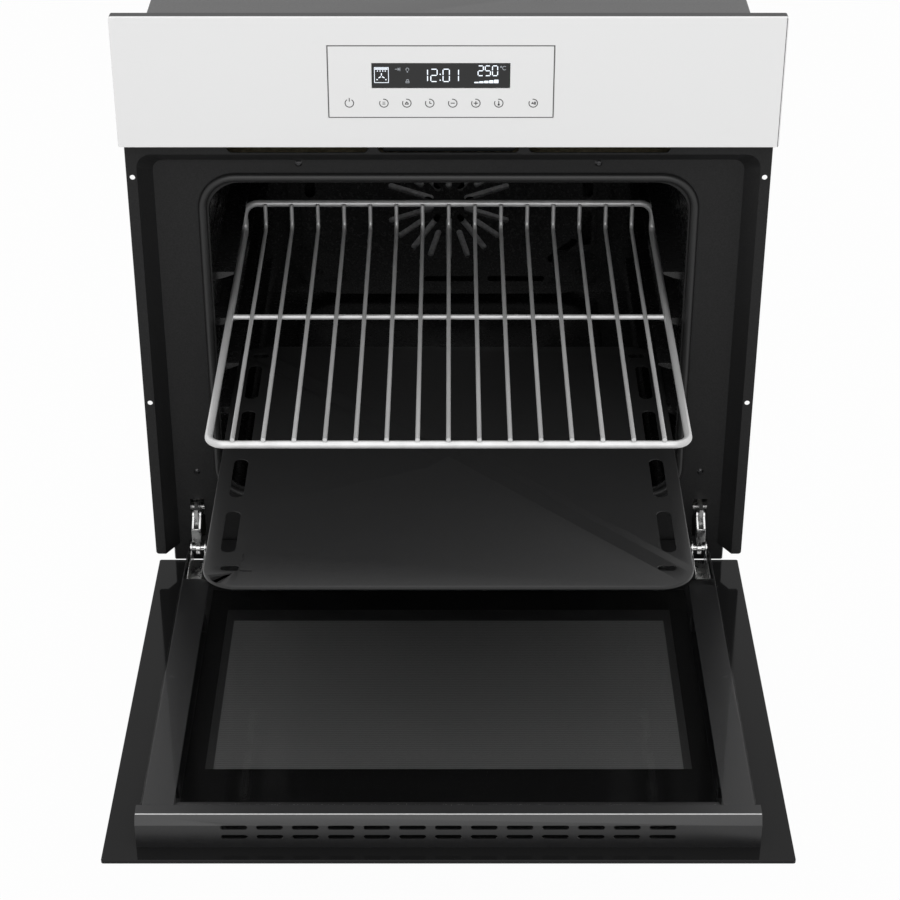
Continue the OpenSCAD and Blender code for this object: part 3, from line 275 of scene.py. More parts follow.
def vary(material, scale, rough, colors=None, bump=0.0, distance=0.0002, detail=4.0, stretch=(1, 1, 1)):
    """Noise in a material's roughness, colour and height, at a real-world scale (per metre)."""
    shader = material.node_tree.nodes["Principled BSDF"]
    mapping = object_place(material, stretch)
    noise = add_node(material, "ShaderNodeTexNoise", Scale=scale, Detail=detail, Roughness=0.55)
    wire(material, mapping, "Vector", noise, "Vector")
    spread = add_node(material, "ShaderNodeMapRange", From_Min=0.3, From_Max=0.7,
                      To_Min=rough[0], To_Max=rough[1])
    wire(material, noise, "Fac", spread, "Value")
    wire(material, spread, "Result", shader, "Roughness")
    if colors:
        tones = ramp(material, noise, "Fac", ((0.35, colors[0]), (0.65, colors[1])))
        wire(material, tones, "Color", shader, "Base Color")
    if bump:
        height = add_node(material, "ShaderNodeBump", Strength=bump, Distance=distance)
        wire(material, noise, "Fac", height, "Height")
        wire(material, height, "Normal", shader, "Normal")
    return material


def grey(value):
    return (value, value, value)


class OvenFinishes(bpy.types.PropertyGroup):
    """Colours and gloss of the oven."""

    panel_white: FloatVectorProperty(
        name="Panel", description="Colour behind the glass of the control panel", subtype="COLOR",
        default=grey(0.83), min=0, max=1)
    enamel_black: FloatVectorProperty(
        name="Enamel", description="Colour of the frame, the cavity and the tray", subtype="COLOR",
        default=(0.0145, 0.0145, 0.0147), min=0, max=1)
    cover_grey: FloatVectorProperty(
        name="Cover", description="Colour of the top cover", subtype="COLOR",
        default=(0.087, 0.087, 0.0875), min=0, max=1)
    glass_black: FloatVectorProperty(
        name="Door glass", description="Colour behind the door glass", subtype="COLOR",
        default=(0.011, 0.011, 0.0112), min=0, max=1)
    display_blue: FloatVectorProperty(
        name="Display", description="Colour of the lit figures", subtype="COLOR",
        default=(0.86, 0.92, 1.0), min=0, max=1)
    mark_grey: FloatVectorProperty(
        name="Marks", description="Colour of the printed marks on the panel", subtype="COLOR",
        default=(0.02, 0.02, 0.021), min=0, max=1)
    enamel_gloss: FloatProperty(
        name="Enamel roughness", description="Roughness of the black enamel", default=0.24, min=0, max=1)
    chrome_gloss: FloatProperty(
        name="Chrome roughness", description="Roughness of the rack wires", default=0.3, min=0, max=1)


class OvenEdges(bpy.types.PropertyGroup):
    """How far edges are rounded."""

    sheet: FloatProperty(
        name="Sheet edge", description="Rounding of folded sheet", default=0.3 * MM, min=0, unit="LENGTH")
    glass: FloatProperty(
        name="Glass edge", description="Polished edge of the glass", default=0.7 * MM, min=0, unit="LENGTH")
    fold: FloatProperty(
        name="Pressed edge", description="Rounding of pressed enamel parts", default=1.6 * MM, min=0,
        unit="LENGTH")


class OvenMarks(bpy.types.PropertyGroup):
    """Marks on the control panel."""

    icon_size: FloatProperty(
        name="Icon size", description="Diameter of a touch mark", default=7.6 * MM, min=0, unit="LENGTH")
    icon_line: FloatProperty(
        name="Icon line", description="Width of the lines of the marks", default=0.8 * MM, min=0,
        unit="LENGTH")
    digit_line: FloatProperty(
        name="Figure line", description="Width of the bars of the figures", default=0.85 * MM, min=0,
        unit="LENGTH")
    glow: FloatProperty(name="Glow", description="Strength of the lit figures", default=0.85, min=0)


class OvenWindow(bpy.types.PropertyGroup):
    """Printed lines of the door window."""

    lines: IntProperty(name="Lines", description="Number of printed lines", default=84, min=1)
    half_width: FloatProperty(
        name="Half width", description="Half width of the lined window", default=211 * MM, min=0,
        unit="LENGTH")
    start: FloatProperty(
        name="Start", description="Distance from the hinge axis to the lines", default=93.5 * MM,
        unit="LENGTH")
    length: FloatProperty(
        name="Length", description="Length of the lined window", default=229.5 * MM, min=0, unit="LENGTH")
    side_border: FloatProperty(
        name="Side border", description="Width of the print beside the lines", default=7.5 * MM, min=0,
        unit="LENGTH")
    end_border: FloatProperty(
        name="End border", description="Width of the print between the lines and the hinges",
        default=18.5 * MM, min=0, unit="LENGTH")
    tone: FloatProperty(
        name="Tone", description="Brightness of the printed lines", default=0.17, min=0, max=1)


class OvenStudio(bpy.types.PropertyGroup):
    """Floor, light and camera."""

    daylight: FloatProperty(name="Daylight", description="Strength of the even light", default=0.62, min=0)
    key_power: FloatProperty(name="Key light", description="Power of the front light", default=26.0, min=0,
                             unit="POWER")
    floor_drop: FloatProperty(
        name="Floor drop", description="Depth of the floor below the oven", default=0.5, min=0, unit="LENGTH")


def studio():
    return bpy.context.scene.oven_studio


def finishes():
    return bpy.context.scene.oven_finishes


def edges():
    return bpy.context.scene.oven_edges


def marks():
    return bpy.context.scene.oven_marks


def window():
    return bpy.context.scene.oven_window


def shared(build):
    """A material that is made on first use and shared after that."""
    def get():
        name = build.__name__ + "_finish"
        return bpy.data.materials.get(name) or build(name)
    return get


@shared
def galvanised_sheet(name):
    """Zinc-coated sheet with faint crystals."""
    return vary(new_material(name, (0.42, 0.43, 0.44), 0.42, metallic=0.9),
                26, rough=(0.34, 0.52), colors=((0.36, 0.37, 0.38), (0.5, 0.51, 0.52)), bump=0.05, detail=8.0)


@shared
def cover_paint(name):
    """Satin grey coat of the top cover, with a fine grain."""
    tone = Vector(finishes().cover_grey)
    return vary(new_material(name, tone, 0.5),
                420, rough=(0.44, 0.58), colors=(tone * 0.93, tone * 1.07), bump=0.12, distance=0.00005)


@shared
def frame_enamel(name):
    """Black satin enamel of the front frame, with a fine orange peel."""
    tone = Vector(finishes().enamel_black)
    return vary(new_material(name, tone, 0.4, Specular_IOR_Level=0.16),
                700, rough=(0.36, 0.46), colors=(tone * 0.8, tone * 1.25), bump=0.1, distance=0.00004)


@shared
def cavity_enamel(name):
    """Glossy black enamel, fired on, with a slight wave."""
    tone = Vector(finishes().enamel_black) * 0.8
    gloss = finishes().enamel_gloss
    return vary(new_material(name, tone, gloss, Specular_IOR_Level=0.4),
                260, rough=(gloss - 0.04, gloss + 0.06), colors=(tone * 0.9, tone * 1.12), bump=0.08,
                distance=0.00006)


@shared
def tray_enamel(name):
    """Smooth black enamel of the baking tray, with fine grains."""
    tone = Vector(finishes().enamel_black) * 1.1
    return vary(new_material(name, tone, 0.4, Specular_IOR_Level=0.35),
                900, rough=(0.34, 0.46), colors=(tone * 0.85, tone * 1.2), bump=0.12, distance=0.00004)


@shared
def panel_glass(name):
    """White glass, printed on its back."""
    tone = Vector(finishes().panel_white)
    return vary(new_material(name, tone, 0.06, Coat_Weight=0.3, Coat_Roughness=0.02),
                3, rough=(0.05, 0.08), colors=(tone * 0.995, tone), detail=1.0)


@shared
def display_glass(name):
    """Black glass in front of the figures."""
    return vary(new_material(name, (0.004, 0.004, 0.0045), 0.05),
                4, rough=(0.04, 0.07), detail=1.0)


@shared
def door_glass(name):
    """Outer glass of the door, printed black on its back."""
    tone = Vector(finishes().glass_black)
    return vary(new_material(name, tone, 0.07, Specular_IOR_Level=0.12),
                3, rough=(0.05, 0.09), colors=(tone * 0.9, tone * 1.1), detail=1.0)


@shared
def clear_glass(name):
    """Clear coated glass inside the door."""
    return vary(new_material(name, grey(0.002), 0.03, Alpha=0.08, IOR=2.2),
                5, rough=(0.02, 0.04), detail=1.0)


@shared
def window_base(name):
    """Dark print of the door window between its lines."""
    tone = window().tone
    return vary(new_material(name, grey(tone * 0.72), 0.5),
                40, rough=(0.45, 0.55), colors=(grey(tone * 0.71), grey(tone * 0.73)), detail=1.0)


@shared
def window_lines(name):
    """Light print of the door window's lines."""
    tone = window().tone
    return vary(new_material(name, grey(tone), 0.5),
                40, rough=(0.45, 0.55), colors=(grey(tone * 0.99), grey(tone * 1.01)), detail=1.0)


@shared
def window_border(name):
    """Dark grey print round the door window."""
    return vary(new_material(name, grey(0.022), 0.5),
                40, rough=(0.45, 0.55), colors=(grey(0.0215), grey(0.0225)), detail=1.0)


@shared
def seal_rubber(name):
    """Dark grey rubber with a matt skin."""
    return vary(new_material(name, (0.012, 0.012, 0.0122), 0.36, Specular_IOR_Level=0.4),
                1600, rough=(0.32, 0.42), colors=((0.009, 0.009, 0.0092), (0.015, 0.015, 0.0152)), bump=0.15)


@shared
def black_plastic(name):
    """Fine-grained black plastic."""
    return vary(new_material(name, (0.012, 0.012, 0.0125), 0.45),
                1400, rough=(0.4, 0.55), colors=((0.01, 0.01, 0.0105), (0.015, 0.015, 0.0155)), bump=0.2)


@shared
def rack_chrome(name):
    """Chromed steel wire, drawn along its length."""
    gloss = finishes().chrome_gloss
    return vary(new_material(name, grey(0.62), gloss, metallic=0.35),
                60, rough=(gloss, gloss + 0.1), colors=(grey(0.58), grey(0.68)), bump=0.04,
                stretch=(1, 0.1, 1))


@shared
def hinge_steel(name):
    """Bright zinc-plated steel with small press marks."""
    return vary(new_material(name, grey(0.62), 0.28, metallic=1.0),
                140, rough=(0.18, 0.42), colors=(grey(0.5), (0.72, 0.72, 0.71)), bump=0.15)


@shared
def screw_steel(name):
    """Dark zinc plating."""
    return vary(new_material(name, (0.05, 0.05, 0.052), 0.32, metallic=1.0),
                300, rough=(0.26, 0.4), colors=((0.04, 0.04, 0.041), (0.07, 0.07, 0.072)), bump=0.1)


@shared
def door_sheet(name):
    """Dark satin coat of the sheet metal in the door."""
    return vary(new_material(name, (0.011, 0.011, 0.0115), 0.36),
                800, rough=(0.3, 0.42), colors=((0.009, 0.009, 0.0095), (0.014, 0.014, 0.0145)), bump=0.08)


@shared
def bare_edge(name):
    """Bright metal strip that paints the highlight along the trim's folded top edge."""
    return vary(new_material(name, grey(0.5), 0.35, metallic=0.5),
                300, rough=(0.3, 0.42), colors=(grey(0.44), grey(0.56)), bump=0.05)


@shared
def brushed_bar(name):
    """Stainless steel brushed along the bar."""
    return vary(new_material(name, (0.6, 0.6, 0.61), 0.26, metallic=1.0),
                900, rough=(0.2, 0.36), colors=((0.52, 0.52, 0.53), (0.66, 0.66, 0.67)), bump=0.08,
                stretch=(0.02, 1, 1))


@shared
def fan_metal(name):
    """Plain aluminium with a mill finish."""
    return vary(new_material(name, (0.34, 0.34, 0.345), 0.35, metallic=1.0),
                500, rough=(0.28, 0.45), colors=((0.28, 0.28, 0.285), (0.4, 0.4, 0.405)), bump=0.06,
                stretch=(1, 0.2, 1))


@shared
def motor_steel(name):
    """Lacquered core plates of a motor."""
    return vary(new_material(name, (0.3, 0.31, 0.32), 0.4, metallic=0.8),
                1200, rough=(0.34, 0.5), colors=((0.22, 0.23, 0.24), (0.36, 0.37, 0.38)), bump=0.3,
                stretch=(0.05, 1, 0.05))


@shared
def heater_skin(name):
    """Oxidised skin of a heating rod."""
    return vary(new_material(name, (0.05, 0.047, 0.043), 0.5, metallic=0.6),
                220, rough=(0.4, 0.65), colors=((0.03, 0.028, 0.026), (0.09, 0.08, 0.07)), bump=0.2)


@shared
def probe_steel(name):
    """Polished tube of the temperature probe."""
    return vary(new_material(name, grey(0.65), 0.15, metallic=1.0),
                200, rough=(0.1, 0.22), bump=0.03)


@shared
def ceramic(name):
    """Glazed off-white ceramic."""
    return vary(new_material(name, (0.72, 0.7, 0.64), 0.2),
                90, rough=(0.15, 0.3), colors=((0.66, 0.64, 0.57), (0.76, 0.74, 0.68)), bump=0.05)


@shared
def lamp_glass(name):
    """Clear heat-proof glass of the lamp."""
    return vary(new_material(name, (0.92, 0.93, 0.92), 0.06, Transmission_Weight=1.0, IOR=1.47),
                60, rough=(0.04, 0.1), bump=0.05)


@shared
def duct_coat(name):
    """Near-black colour of the cooling duct: painted shade, so the air slots in front of it read dark."""
    return vary(new_material(name, (0.004, 0.004, 0.0041), 0.6, Specular_IOR_Level=0.2),
                500, rough=(0.5, 0.7), colors=((0.003, 0.003, 0.0031), (0.006, 0.006, 0.0061)), bump=0.1)


@shared
def mineral_wool(name):
    """Felted yellow-grey wool."""
    return vary(new_material(name, (0.5, 0.43, 0.28), 0.95),
                300, rough=(0.9, 1.0), colors=((0.4, 0.34, 0.2), (0.6, 0.53, 0.36)), bump=0.8, distance=0.001,
                detail=8.0)


@shared
def circuit_board(name):
    """Green lacquered board."""
    return vary(new_material(name, (0.02, 0.14, 0.06), 0.35),
                180, rough=(0.28, 0.42), colors=((0.015, 0.1, 0.045), (0.03, 0.19, 0.08)), bump=0.1)


@shared
def contact_metal(name):
    """Gold-plated contact."""
    return vary(new_material(name, (0.7, 0.5, 0.2), 0.25, metallic=1.0),
                400, rough=(0.18, 0.35), bump=0.05)


def glowing(name, tone):
    """A surface that glows in its own tone."""
    figure = new_material(name, tone * 0.6, 0.5, Emission_Color=(*tone, 1.0), Emission_Strength=marks().glow)
    return vary(figure, 800, rough=(0.45, 0.55), detail=1.0)


@shared
def lit_figure(name):
    """Lit figures of the display."""
    return glowing(name, Vector(finishes().display_blue))


@shared
def dim_figure(name):
    """Figures of the display that glow less."""
    return glowing(name, Vector(finishes().display_blue) * 0.35)


@shared
def printed_mark(name):
    """Dark print on the panel glass."""
    tone = Vector(finishes().mark_grey)
    return vary(new_material(name, tone, 0.4),
                900, rough=(0.35, 0.45), colors=(tone * 0.9, tone * 1.1), detail=1.0)


@shared
def joint_grey(name):
    """Grey line where the control unit's glass meets the panel glass: painted shade of the gap between the
    panes.
    """
    return vary(new_material(name, grey(0.09), 0.5),
                700, rough=(0.45, 0.6), colors=(grey(0.08), grey(0.1)), detail=2.0)


def dress(material, *nodes):
    """Gives frame nodes that stay as they are a finish."""
    for node in nodes:
        for slot in NODES[node].material_slots:
            slot.material = material


def body_of_node(node):
    """The body that a frame node rides on, and its material slot in the record."""
    bodies = frame["record"]["behaviour"]["bodies"]
    body = next(name for name, nodes in bodies.items() if node in nodes)
    slot = next(part["material_slot"] for part in frame["record"]["subparts"] if part["node"] == node)
    return body, slot


def soften_nodes(material, width, *nodes):
    """Copies of frame nodes with rounded edges, in one finish, which stand for the nodes."""
    for node in nodes:
        body, slot = body_of_node(node)
        piece = finish_piece(node + "_skin", cad_copy(node), material, body, (node,), recalc=False)
        soften(piece, width)


# ---- Studio ----

class OVEN_OT_stage(bpy.types.Operator):
    """Pale floor, even light, front light and camera"""
    bl_idname = "oven.stage"
    bl_label = "Studio"

    def execute(self, context):
        make_world()
        make_floor()
        make_lights()
        make_camera()
        return {"FINISHED"}


def any_ray(tree, *kinds):
    """A value of 1 for rays of any of these kinds, else 0."""
    paths = tree.nodes.new("ShaderNodeLightPath")
    found = paths.outputs[kinds[0]]
    for kind in kinds[1:]:
        either = tree.nodes.new("ShaderNodeMath")
        either.operation = "MAXIMUM"
        tree.links.new(found, either.inputs[0])
        tree.links.new(paths.outputs[kind], either.inputs[1])
        found = either.outputs[0]
    return found


def make_world():
    """Even daylight, with a plain white background behind the oven and in its reflections."""
    world = bpy.data.worlds.new("studio")
    bpy.context.scene.world = world
    world.use_nodes = True
    tree = world.node_tree
    tree.nodes.clear()
    seen = any_ray(tree, "Is Camera Ray", "Is Glossy Ray", "Is Transmission Ray")
    light = tree.nodes.new("ShaderNodeBackground")
    light.inputs["Strength"].default_value = studio().daylight
    white = tree.nodes.new("ShaderNodeBackground")
    mix = tree.nodes.new("ShaderNodeMixShader")
    out = tree.nodes.new("ShaderNodeOutputWorld")
    for background in (light, white):
        background.inputs["Color"].default_value = (1, 1, 1, 1)
    tree.links.new(seen, mix.inputs["Fac"])
    tree.links.new(light.outputs[0], mix.inputs[1])
    tree.links.new(white.outputs[0], mix.inputs[2])
    tree.links.new(mix.outputs[0], out.inputs["Surface"])


FLOOR_WHITE = 0.96                       # share of plain white in the floor; the rest takes the shadow


def make_floor():
    """A wide pale floor, well below the oven, that keeps a trace of its shadow."""
    bm = start_mesh()
    bmesh.ops.create_grid(bm, x_segments=1, y_segments=1, size=8)
    bmesh.ops.translate(bm, verts=bm.verts, vec=(0, 0, -studio().floor_drop))
    mesh = bpy.data.meshes.new("floor")
    bm.to_mesh(mesh)
    bm.free()
    floor = bpy.data.objects.new("floor", mesh)
    bpy.context.scene.collection.objects.link(floor)
    pale = new_material("pale_floor", grey(0.9), 0.9)
    tree = pale.node_tree
    shader = tree.nodes["Principled BSDF"]
    white = tree.nodes.new("ShaderNodeEmission")
    mix = tree.nodes.new("ShaderNodeMixShader")
    share = tree.nodes.new("ShaderNodeMath")
    share.operation = "MULTIPLY"
    share.inputs[1].default_value = FLOOR_WHITE
    tree.links.new(any_ray(tree, "Is Camera Ray", "Is Glossy Ray"), share.inputs[0])
    tree.links.new(share.outputs[0], mix.inputs["Fac"])
    tree.links.new(shader.outputs[0], mix.inputs[1])
    tree.links.new(white.outputs[0], mix.inputs[2])
    tree.links.new(mix.outputs[0], tree.nodes["Material Output"].inputs["Surface"])
    mesh.materials.append(pale)


def make_lights():
    """Wide soft lights in front of and above the oven."""
    key = studio().key_power
    for name, place, size, power in (("front_light", (0, -2.4, 1.7), 2.4, key),
                                     ("top_light", (0, -0.3, 2.6), 2.0, key * 0.5)):
        lamp = bpy.data.lights.new(name, "AREA")
        lamp.size = size
        lamp.energy = power
        light = bpy.data.objects.new(name, lamp)
        light.location = place
        aim = Vector((0, 0, 0.25)) - Vector(place)
        light.rotation_euler = aim.to_track_quat("-Z", "Y").to_euler()
        light.visible_camera = False
        bpy.context.scene.collection.objects.link(light)


def make_camera():
    """The view from in front and above."""
    lens = bpy.data.cameras.new("camera")
    lens.lens = 90.7
    lens.sensor_width = 36
    lens.shift_x = -0.0003
    camera = bpy.data.objects.new("camera", lens)
    camera.location = (0.0016, -1.912, 1.2916)
    camera.rotation_euler = (math.radians(58.97), 0, 0)
    bpy.context.scene.collection.objects.link(camera)
    bpy.context.scene.camera = camera
    bpy.context.scene.view_settings.view_transform = "Standard"


# ---- Casing and front ----

class OVEN_OT_casing(bpy.types.Operator):
    """Folded sheets of the casing"""
    bl_idname = "oven.casing"
    bl_label = "Casing"

    def execute(self, context):
        edge = edges().sheet
        soften_nodes(galvanised_sheet(), edge, "base_plate", "left_side_panel", "right_side_panel",
                     "rear_cover")
        soften_nodes(cover_paint(), edge, "top_cover")
        return {"FINISHED"}


class OVEN_OT_front_frame(bpy.types.Operator):
    """Enamelled front frame and its screws"""
    bl_idname = "oven.front_frame"
    bl_label = "Front frame"

    def execute(self, context):
        soften_nodes(frame_enamel(), edges().sheet, "front_frame")
        soften_nodes(screw_steel(), edges().sheet / 2, "front_screws")
        air_slot_rims()
        return {"FINISHED"}


AIR_SLOT = (129.7 * MM, 10 * MM)         # length and height of a cooling air slot
AIR_SLOT_PITCH = 137.7 * MM
AIR_SLOT_DROP = 9.5 * MM                 # its middle below the glass of the control panel


def air_slot_rims():
    """Rolled rims of the three cooling air slots, and the vane behind the middle one."""
    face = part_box("front_frame")[0][1]
    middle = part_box("control_panel_glass")[0][2] - AIR_SLOT_DROP
    length, height = AIR_SLOT
    run, turn = length - height, ("turn", (0, -1, 0), height / 2, 180)
    bm = start_mesh()
    for i in (-1, 0, 1):
        bent_bar(bm, (i * AIR_SLOT_PITCH - run / 2, face, middle - height / 2), (1, 0, 0), 0.7 * MM,
                 (("go", run), turn, ("go", run), turn), sides=10)
    finish_piece("air_slot_rims", bm, frame_enamel(), "casing")
    bm = start_mesh()
    block(bm, (-run / 2, 2.5 * MM, middle - height / 2), (run / 2, 3.5 * MM, middle + 1 * MM), 0.3 * MM)
    finish_piece("air_vane", bm, frame_enamel(), "casing")


class OVEN_OT_control_panel(bpy.types.Operator):
    """White glass panel in its black rim, with the control unit"""
    bl_idname = "oven.control_panel"
    bl_label = "Control panel"

    def execute(self, context):
        soften_nodes(panel_glass(), edges().glass, "control_panel_glass")
        soften_nodes(panel_glass(), edges().glass / 3, "control_unit_glass")
        soften_nodes(black_plastic(), edges().sheet, "control_panel_frame")
        soften_nodes(display_glass(), edges().glass / 3, "display_window")
        return {"FINISHED"}


# ---- Marks on the control unit ----

class Pen:
    """Draws thin raised marks on an upright face: places are (x, z)."""

    def __init__(self, bm, face, line, lift=0.06 * MM):
        self.bm, self.face, self.line, self.lift = bm, face, line, lift

    def bar(self, start, end, line=None):
        """A straight stroke."""
        way = Vector((end[0] - start[0], 0, end[1] - start[1]))
        middle = Vector(((start[0] + end[0]) / 2, self.face, (start[1] + end[1]) / 2))
        turn = Matrix.Rotation(-math.atan2(way.z, way.x), 4, "Y")
        size = Matrix.Diagonal((way.length, 2 * self.lift, line or self.line, 1))
        bmesh.ops.create_cube(self.bm, size=1.0, matrix=Matrix.Translation(middle) @ turn @ size)

    def arc(self, centre, radius, start=0, sweep=360, line=None):
        """A ring or a part of one, from an angle in degrees."""
        half = (line or self.line) / 2
        way = Vector((math.cos(math.radians(start)), 0, math.sin(math.radians(start))))
        middle = Vector((centre[0], self.face, centre[1]))
        rise = Vector((0, self.lift, 0))
        corners = [self.bm.verts.new(middle + way * (radius + out) + rise * up)
                   for out, up in ((-half, -1), (half, -1), (half, 1), (-half, 1))]
        section = self.bm.faces.new(corners)
        full = sweep == 360
        geom = list(section.edges) if full else [section]
        if full:
            self.bm.faces.remove(section)
        bmesh.ops.spin(self.bm, geom=geom, cent=middle, axis=(0, -1, 0), angle=math.radians(sweep),
                       steps=max(4, round(sweep / 12)), use_merge=full)

    def dot(self, centre, radius, sides=12):
        """A filled round or many-sided mark."""
        place = Matrix.Translation((centre[0], self.face, centre[1])) @ Matrix.Rotation(math.pi / 2, 4, "X")
        bmesh.ops.create_cone(self.bm, cap_ends=True, segments=sides, radius1=radius, radius2=radius,
                              depth=2 * self.lift, matrix=place)

    def figure(self, number, low, size):
        """A seven-bar figure in a box from its lower left corner."""
        x, z, w, h = low[0], low[1], size[0], size[1]
        gap = self.line * 0.62
        ends = {"a": ((x, z + h), (x + w, z + h)), "g": ((x, z + h / 2), (x + w, z + h / 2)),
                "d": ((x, z), (x + w, z)), "f": ((x, z + h / 2), (x, z + h)), "e": ((x, z), (x, z + h / 2)),
                "b": ((x + w, z + h / 2), (x + w, z + h)), "c": ((x + w, z), (x + w, z + h / 2))}
        for bar in FIGURE_BARS[number]:
            start, end = (Vector(point) for point in ends[bar])
            way = (end - start).normalized() * gap
            self.bar(start + way, end - way)


FIGURE_BARS = {"0": "abcdef", "1": "bc", "2": "abged", "5": "afgcd"}


class OVEN_OT_display(bpy.types.Operator):
    """Lit figures and signs of the display"""
    bl_idname = "oven.display"
    bl_label = "Display"

    def execute(self, context):
        low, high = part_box("display_window")
        x, z, face = (low[0] + high[0]) / 2, (low[2] + high[2]) / 2, low[1]
        bm = start_mesh()
        pen = Pen(bm, face, marks().digit_line)
        draw_time(pen, x, z)
        draw_heat(pen, x, z)
        draw_grill_sign(pen, x - 52.6 * MM, z + 0.7 * MM)
        finish_piece("display_figures", bm, lit_figure(), "casing")
        bm = start_mesh()
        draw_small_signs(Pen(bm, face, 0.45 * MM), x, z)
        finish_piece("display_signs", bm, dim_figure(), "casing")
        return {"FINISHED"}


def draw_time(pen, x, z):
    """The clock: two figures, a colon, two figures."""
    size = (5.6 * MM, 11.6 * MM)
    low = z - 5.4 * MM
    for number, left in (("1", -17.4), ("2", -8.9), ("0", 1.9), ("1", 10.0)):
        pen.figure(number, (x + left * MM, low), size)
    for up in (1.4, -4.1):
        pen.dot((x - 0.6 * MM, z + up * MM), 0.6 * MM)


def draw_heat(pen, x, z):
    """The set heat and the rising heat bar."""
    size = (4.6 * MM, 9.2 * MM)
    for number, left in (("2", 32.9), ("5", 39.2), ("0", 45.6)):
        pen.figure(number, (x + left * MM, z + 0.1 * MM), size)
    for step in range(5):
        left = x + (29.6 + 4.4 * step) * MM
        height = (1.2 + 0.5 * step) * MM
        middle = z - 6.9 * MM + height / 2
        pen.bar((left, middle), (left + 3.8 * MM, middle), line=height)


def draw_grill_sign(pen, x, z):
    """A framed sign: heating rods above a three-blade fan."""
    half, line = Vector((6.2, 7.1)) * MM, 0.5 * MM
    for s in (-1, 1):
        pen.bar((x - half.x, z + s * half.y), (x + half.x, z + s * half.y), line)
        pen.bar((x + s * half.x, z - half.y), (x + s * half.x, z + half.y), line)
        pen.bar((x - 5.6 * MM, z + 5.7 * MM), (x + 5.6 * MM, z + 5.7 * MM), 1.1 * MM)
        pen.dot((x + s * 3.9 * MM, z - 4.3 * MM), 0.6 * MM)
    for i in range(4):
        pen.dot((x + (i - 1.5) * 2.3 * MM, z + 3.8 * MM), 0.55 * MM)
    for turn in (90, 210, 330):
        way = Vector((math.cos(math.radians(turn)), math.sin(math.radians(turn))))
        hub = Vector((x, z - 1.2 * MM))
        pen.bar(hub + way * 0.6 * MM, hub + way * 3.0 * MM, 0.9 * MM)


def draw_small_signs(pen, x, z):
    """Dim signs: an arrow to a stop, a lamp, a lock and the degree sign."""
    for start, end in (((-40.6, 6.2), (-36.6, 6.2)), ((-38.2, 7.4), (-36.8, 6.2)),
                       ((-38.2, 5.0), (-36.8, 6.2)), ((-36.2, 4.6), (-36.2, 7.8))):
        pen.bar((x + start[0] * MM, z + start[1] * MM), (x + end[0] * MM, z + end[1] * MM))
    pen.arc((x - 29.6 * MM, z + 6.0 * MM), 1.3 * MM, -50, 280)
    for up in (4.1, 3.4):
        pen.bar((x - 30.2 * MM, z + up * MM), (x - 29.0 * MM, z + up * MM))
    pen.arc((x - 29.6 * MM, z - 4.6 * MM), 1.1 * MM, 0, 180)
    for up in (-5.2, -6.6):
        pen.bar((x - 31.2 * MM, z + up * MM), (x - 28.0 * MM, z + up * MM))
    for side in (-31.0, -28.2):
        pen.bar((x + side * MM, z - 6.6 * MM), (x + side * MM, z - 5.2 * MM))
    pen.arc((x + 53.2 * MM, z + 8.4 * MM), 0.6 * MM)
    pen.arc((x + 56.2 * MM, z + 7.2 * MM), 1.7 * MM, 45, 270)


def open_ring(pen, x, z):
    """The ring round a touch mark, open at its upper left."""
    pen.arc((x, z), marks().icon_size / 2, 150, 310)


def power_mark(pen, x, z):
    pen.arc((x, z), marks().icon_size / 2, 122, 296)
    pen.bar((x, z + 1.6 * MM), (x, z + 4.9 * MM))


def menu_mark(pen, x, z):
    open_ring(pen, x, z)
    for up in (-1.1, 0, 1.1):
        pen.bar((x - 1.3 * MM, z + up * MM), (x + 1.3 * MM, z + up * MM), 0.4 * MM)


def dome_mark(pen, x, z):
    open_ring(pen, x, z)
    pen.arc((x, z - 0.6 * MM), 1.2 * MM, 0, 180)
    pen.bar((x - 1.7 * MM, z - 0.9 * MM), (x + 1.7 * MM, z - 0.9 * MM))
    pen.bar((x, z + 0.4 * MM), (x, z + 1.6 * MM))


def clock_mark(pen, x, z):
    open_ring(pen, x, z)
    pen.bar((x, z - 0.3 * MM), (x, z + 1.9 * MM))
    pen.bar((x, z), (x + 1.6 * MM, z - 0.5 * MM))


def minus_mark(pen, x, z):
    open_ring(pen, x, z)
    pen.bar((x - 1.9 * MM, z), (x + 1.9 * MM, z))


def plus_mark(pen, x, z):
    minus_mark(pen, x, z)
    pen.bar((x, z - 1.9 * MM), (x, z + 1.9 * MM))


def heat_mark(pen, x, z):
    open_ring(pen, x, z)
    pen.bar((x, z - 1.2 * MM), (x, z + 2.2 * MM), 0.8 * MM)
    pen.dot((x, z - 1.4 * MM), 1.0 * MM)


def start_mark(pen, x, z):
    open_ring(pen, x, z)
    pen.dot((x - 0.7 * MM, z), 1.4 * MM, sides=3)
    for side in (0.9, 1.9):
        pen.bar((x + side * MM, z - 1.4 * MM), (x + side * MM, z + 1.4 * MM))


TOUCH_MARKS = ((-81.6, power_mark), (-50.8, menu_mark), (-30.4, dome_mark), (-10, clock_mark),
               (10.5, minus_mark), (31.1, plus_mark), (51.5, heat_mark), (82.2, start_mark))


class OVEN_OT_touch_marks(bpy.types.Operator):
    """Printed marks over the touch pads"""
    bl_idname = "oven.touch_marks"
    bl_label = "Touch marks"

    def execute(self, context):
        low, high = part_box("touch_pads")
        row = (low[2] + high[2]) / 2
        low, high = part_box("control_unit_glass")
        x, face = (low[0] + high[0]) / 2, low[1]
        bm = start_mesh()
        pen = Pen(bm, face, marks().icon_line)
        for offset, mark in TOUCH_MARKS:
            mark(pen, x + offset * MM, row)
        finish_piece("touch_marks", bm, printed_mark(), "casing")
        # The grey lines along the unit's edges paint the shade in the gap between the two panes.
        bm = start_mesh()
        pen = Pen(bm, face, marks().icon_line, lift=0.04 * MM)
        for edge in (low[2], high[2]):
            pen.bar((low[0], edge), (high[0], edge))
        for edge in (low[0], high[0]):
            pen.bar((edge, low[2]), (edge, high[2]))
        finish_piece("unit_gap_shade", bm, joint_grey(), "casing")
        return {"FINISHED"}


# ---- Cavity ----

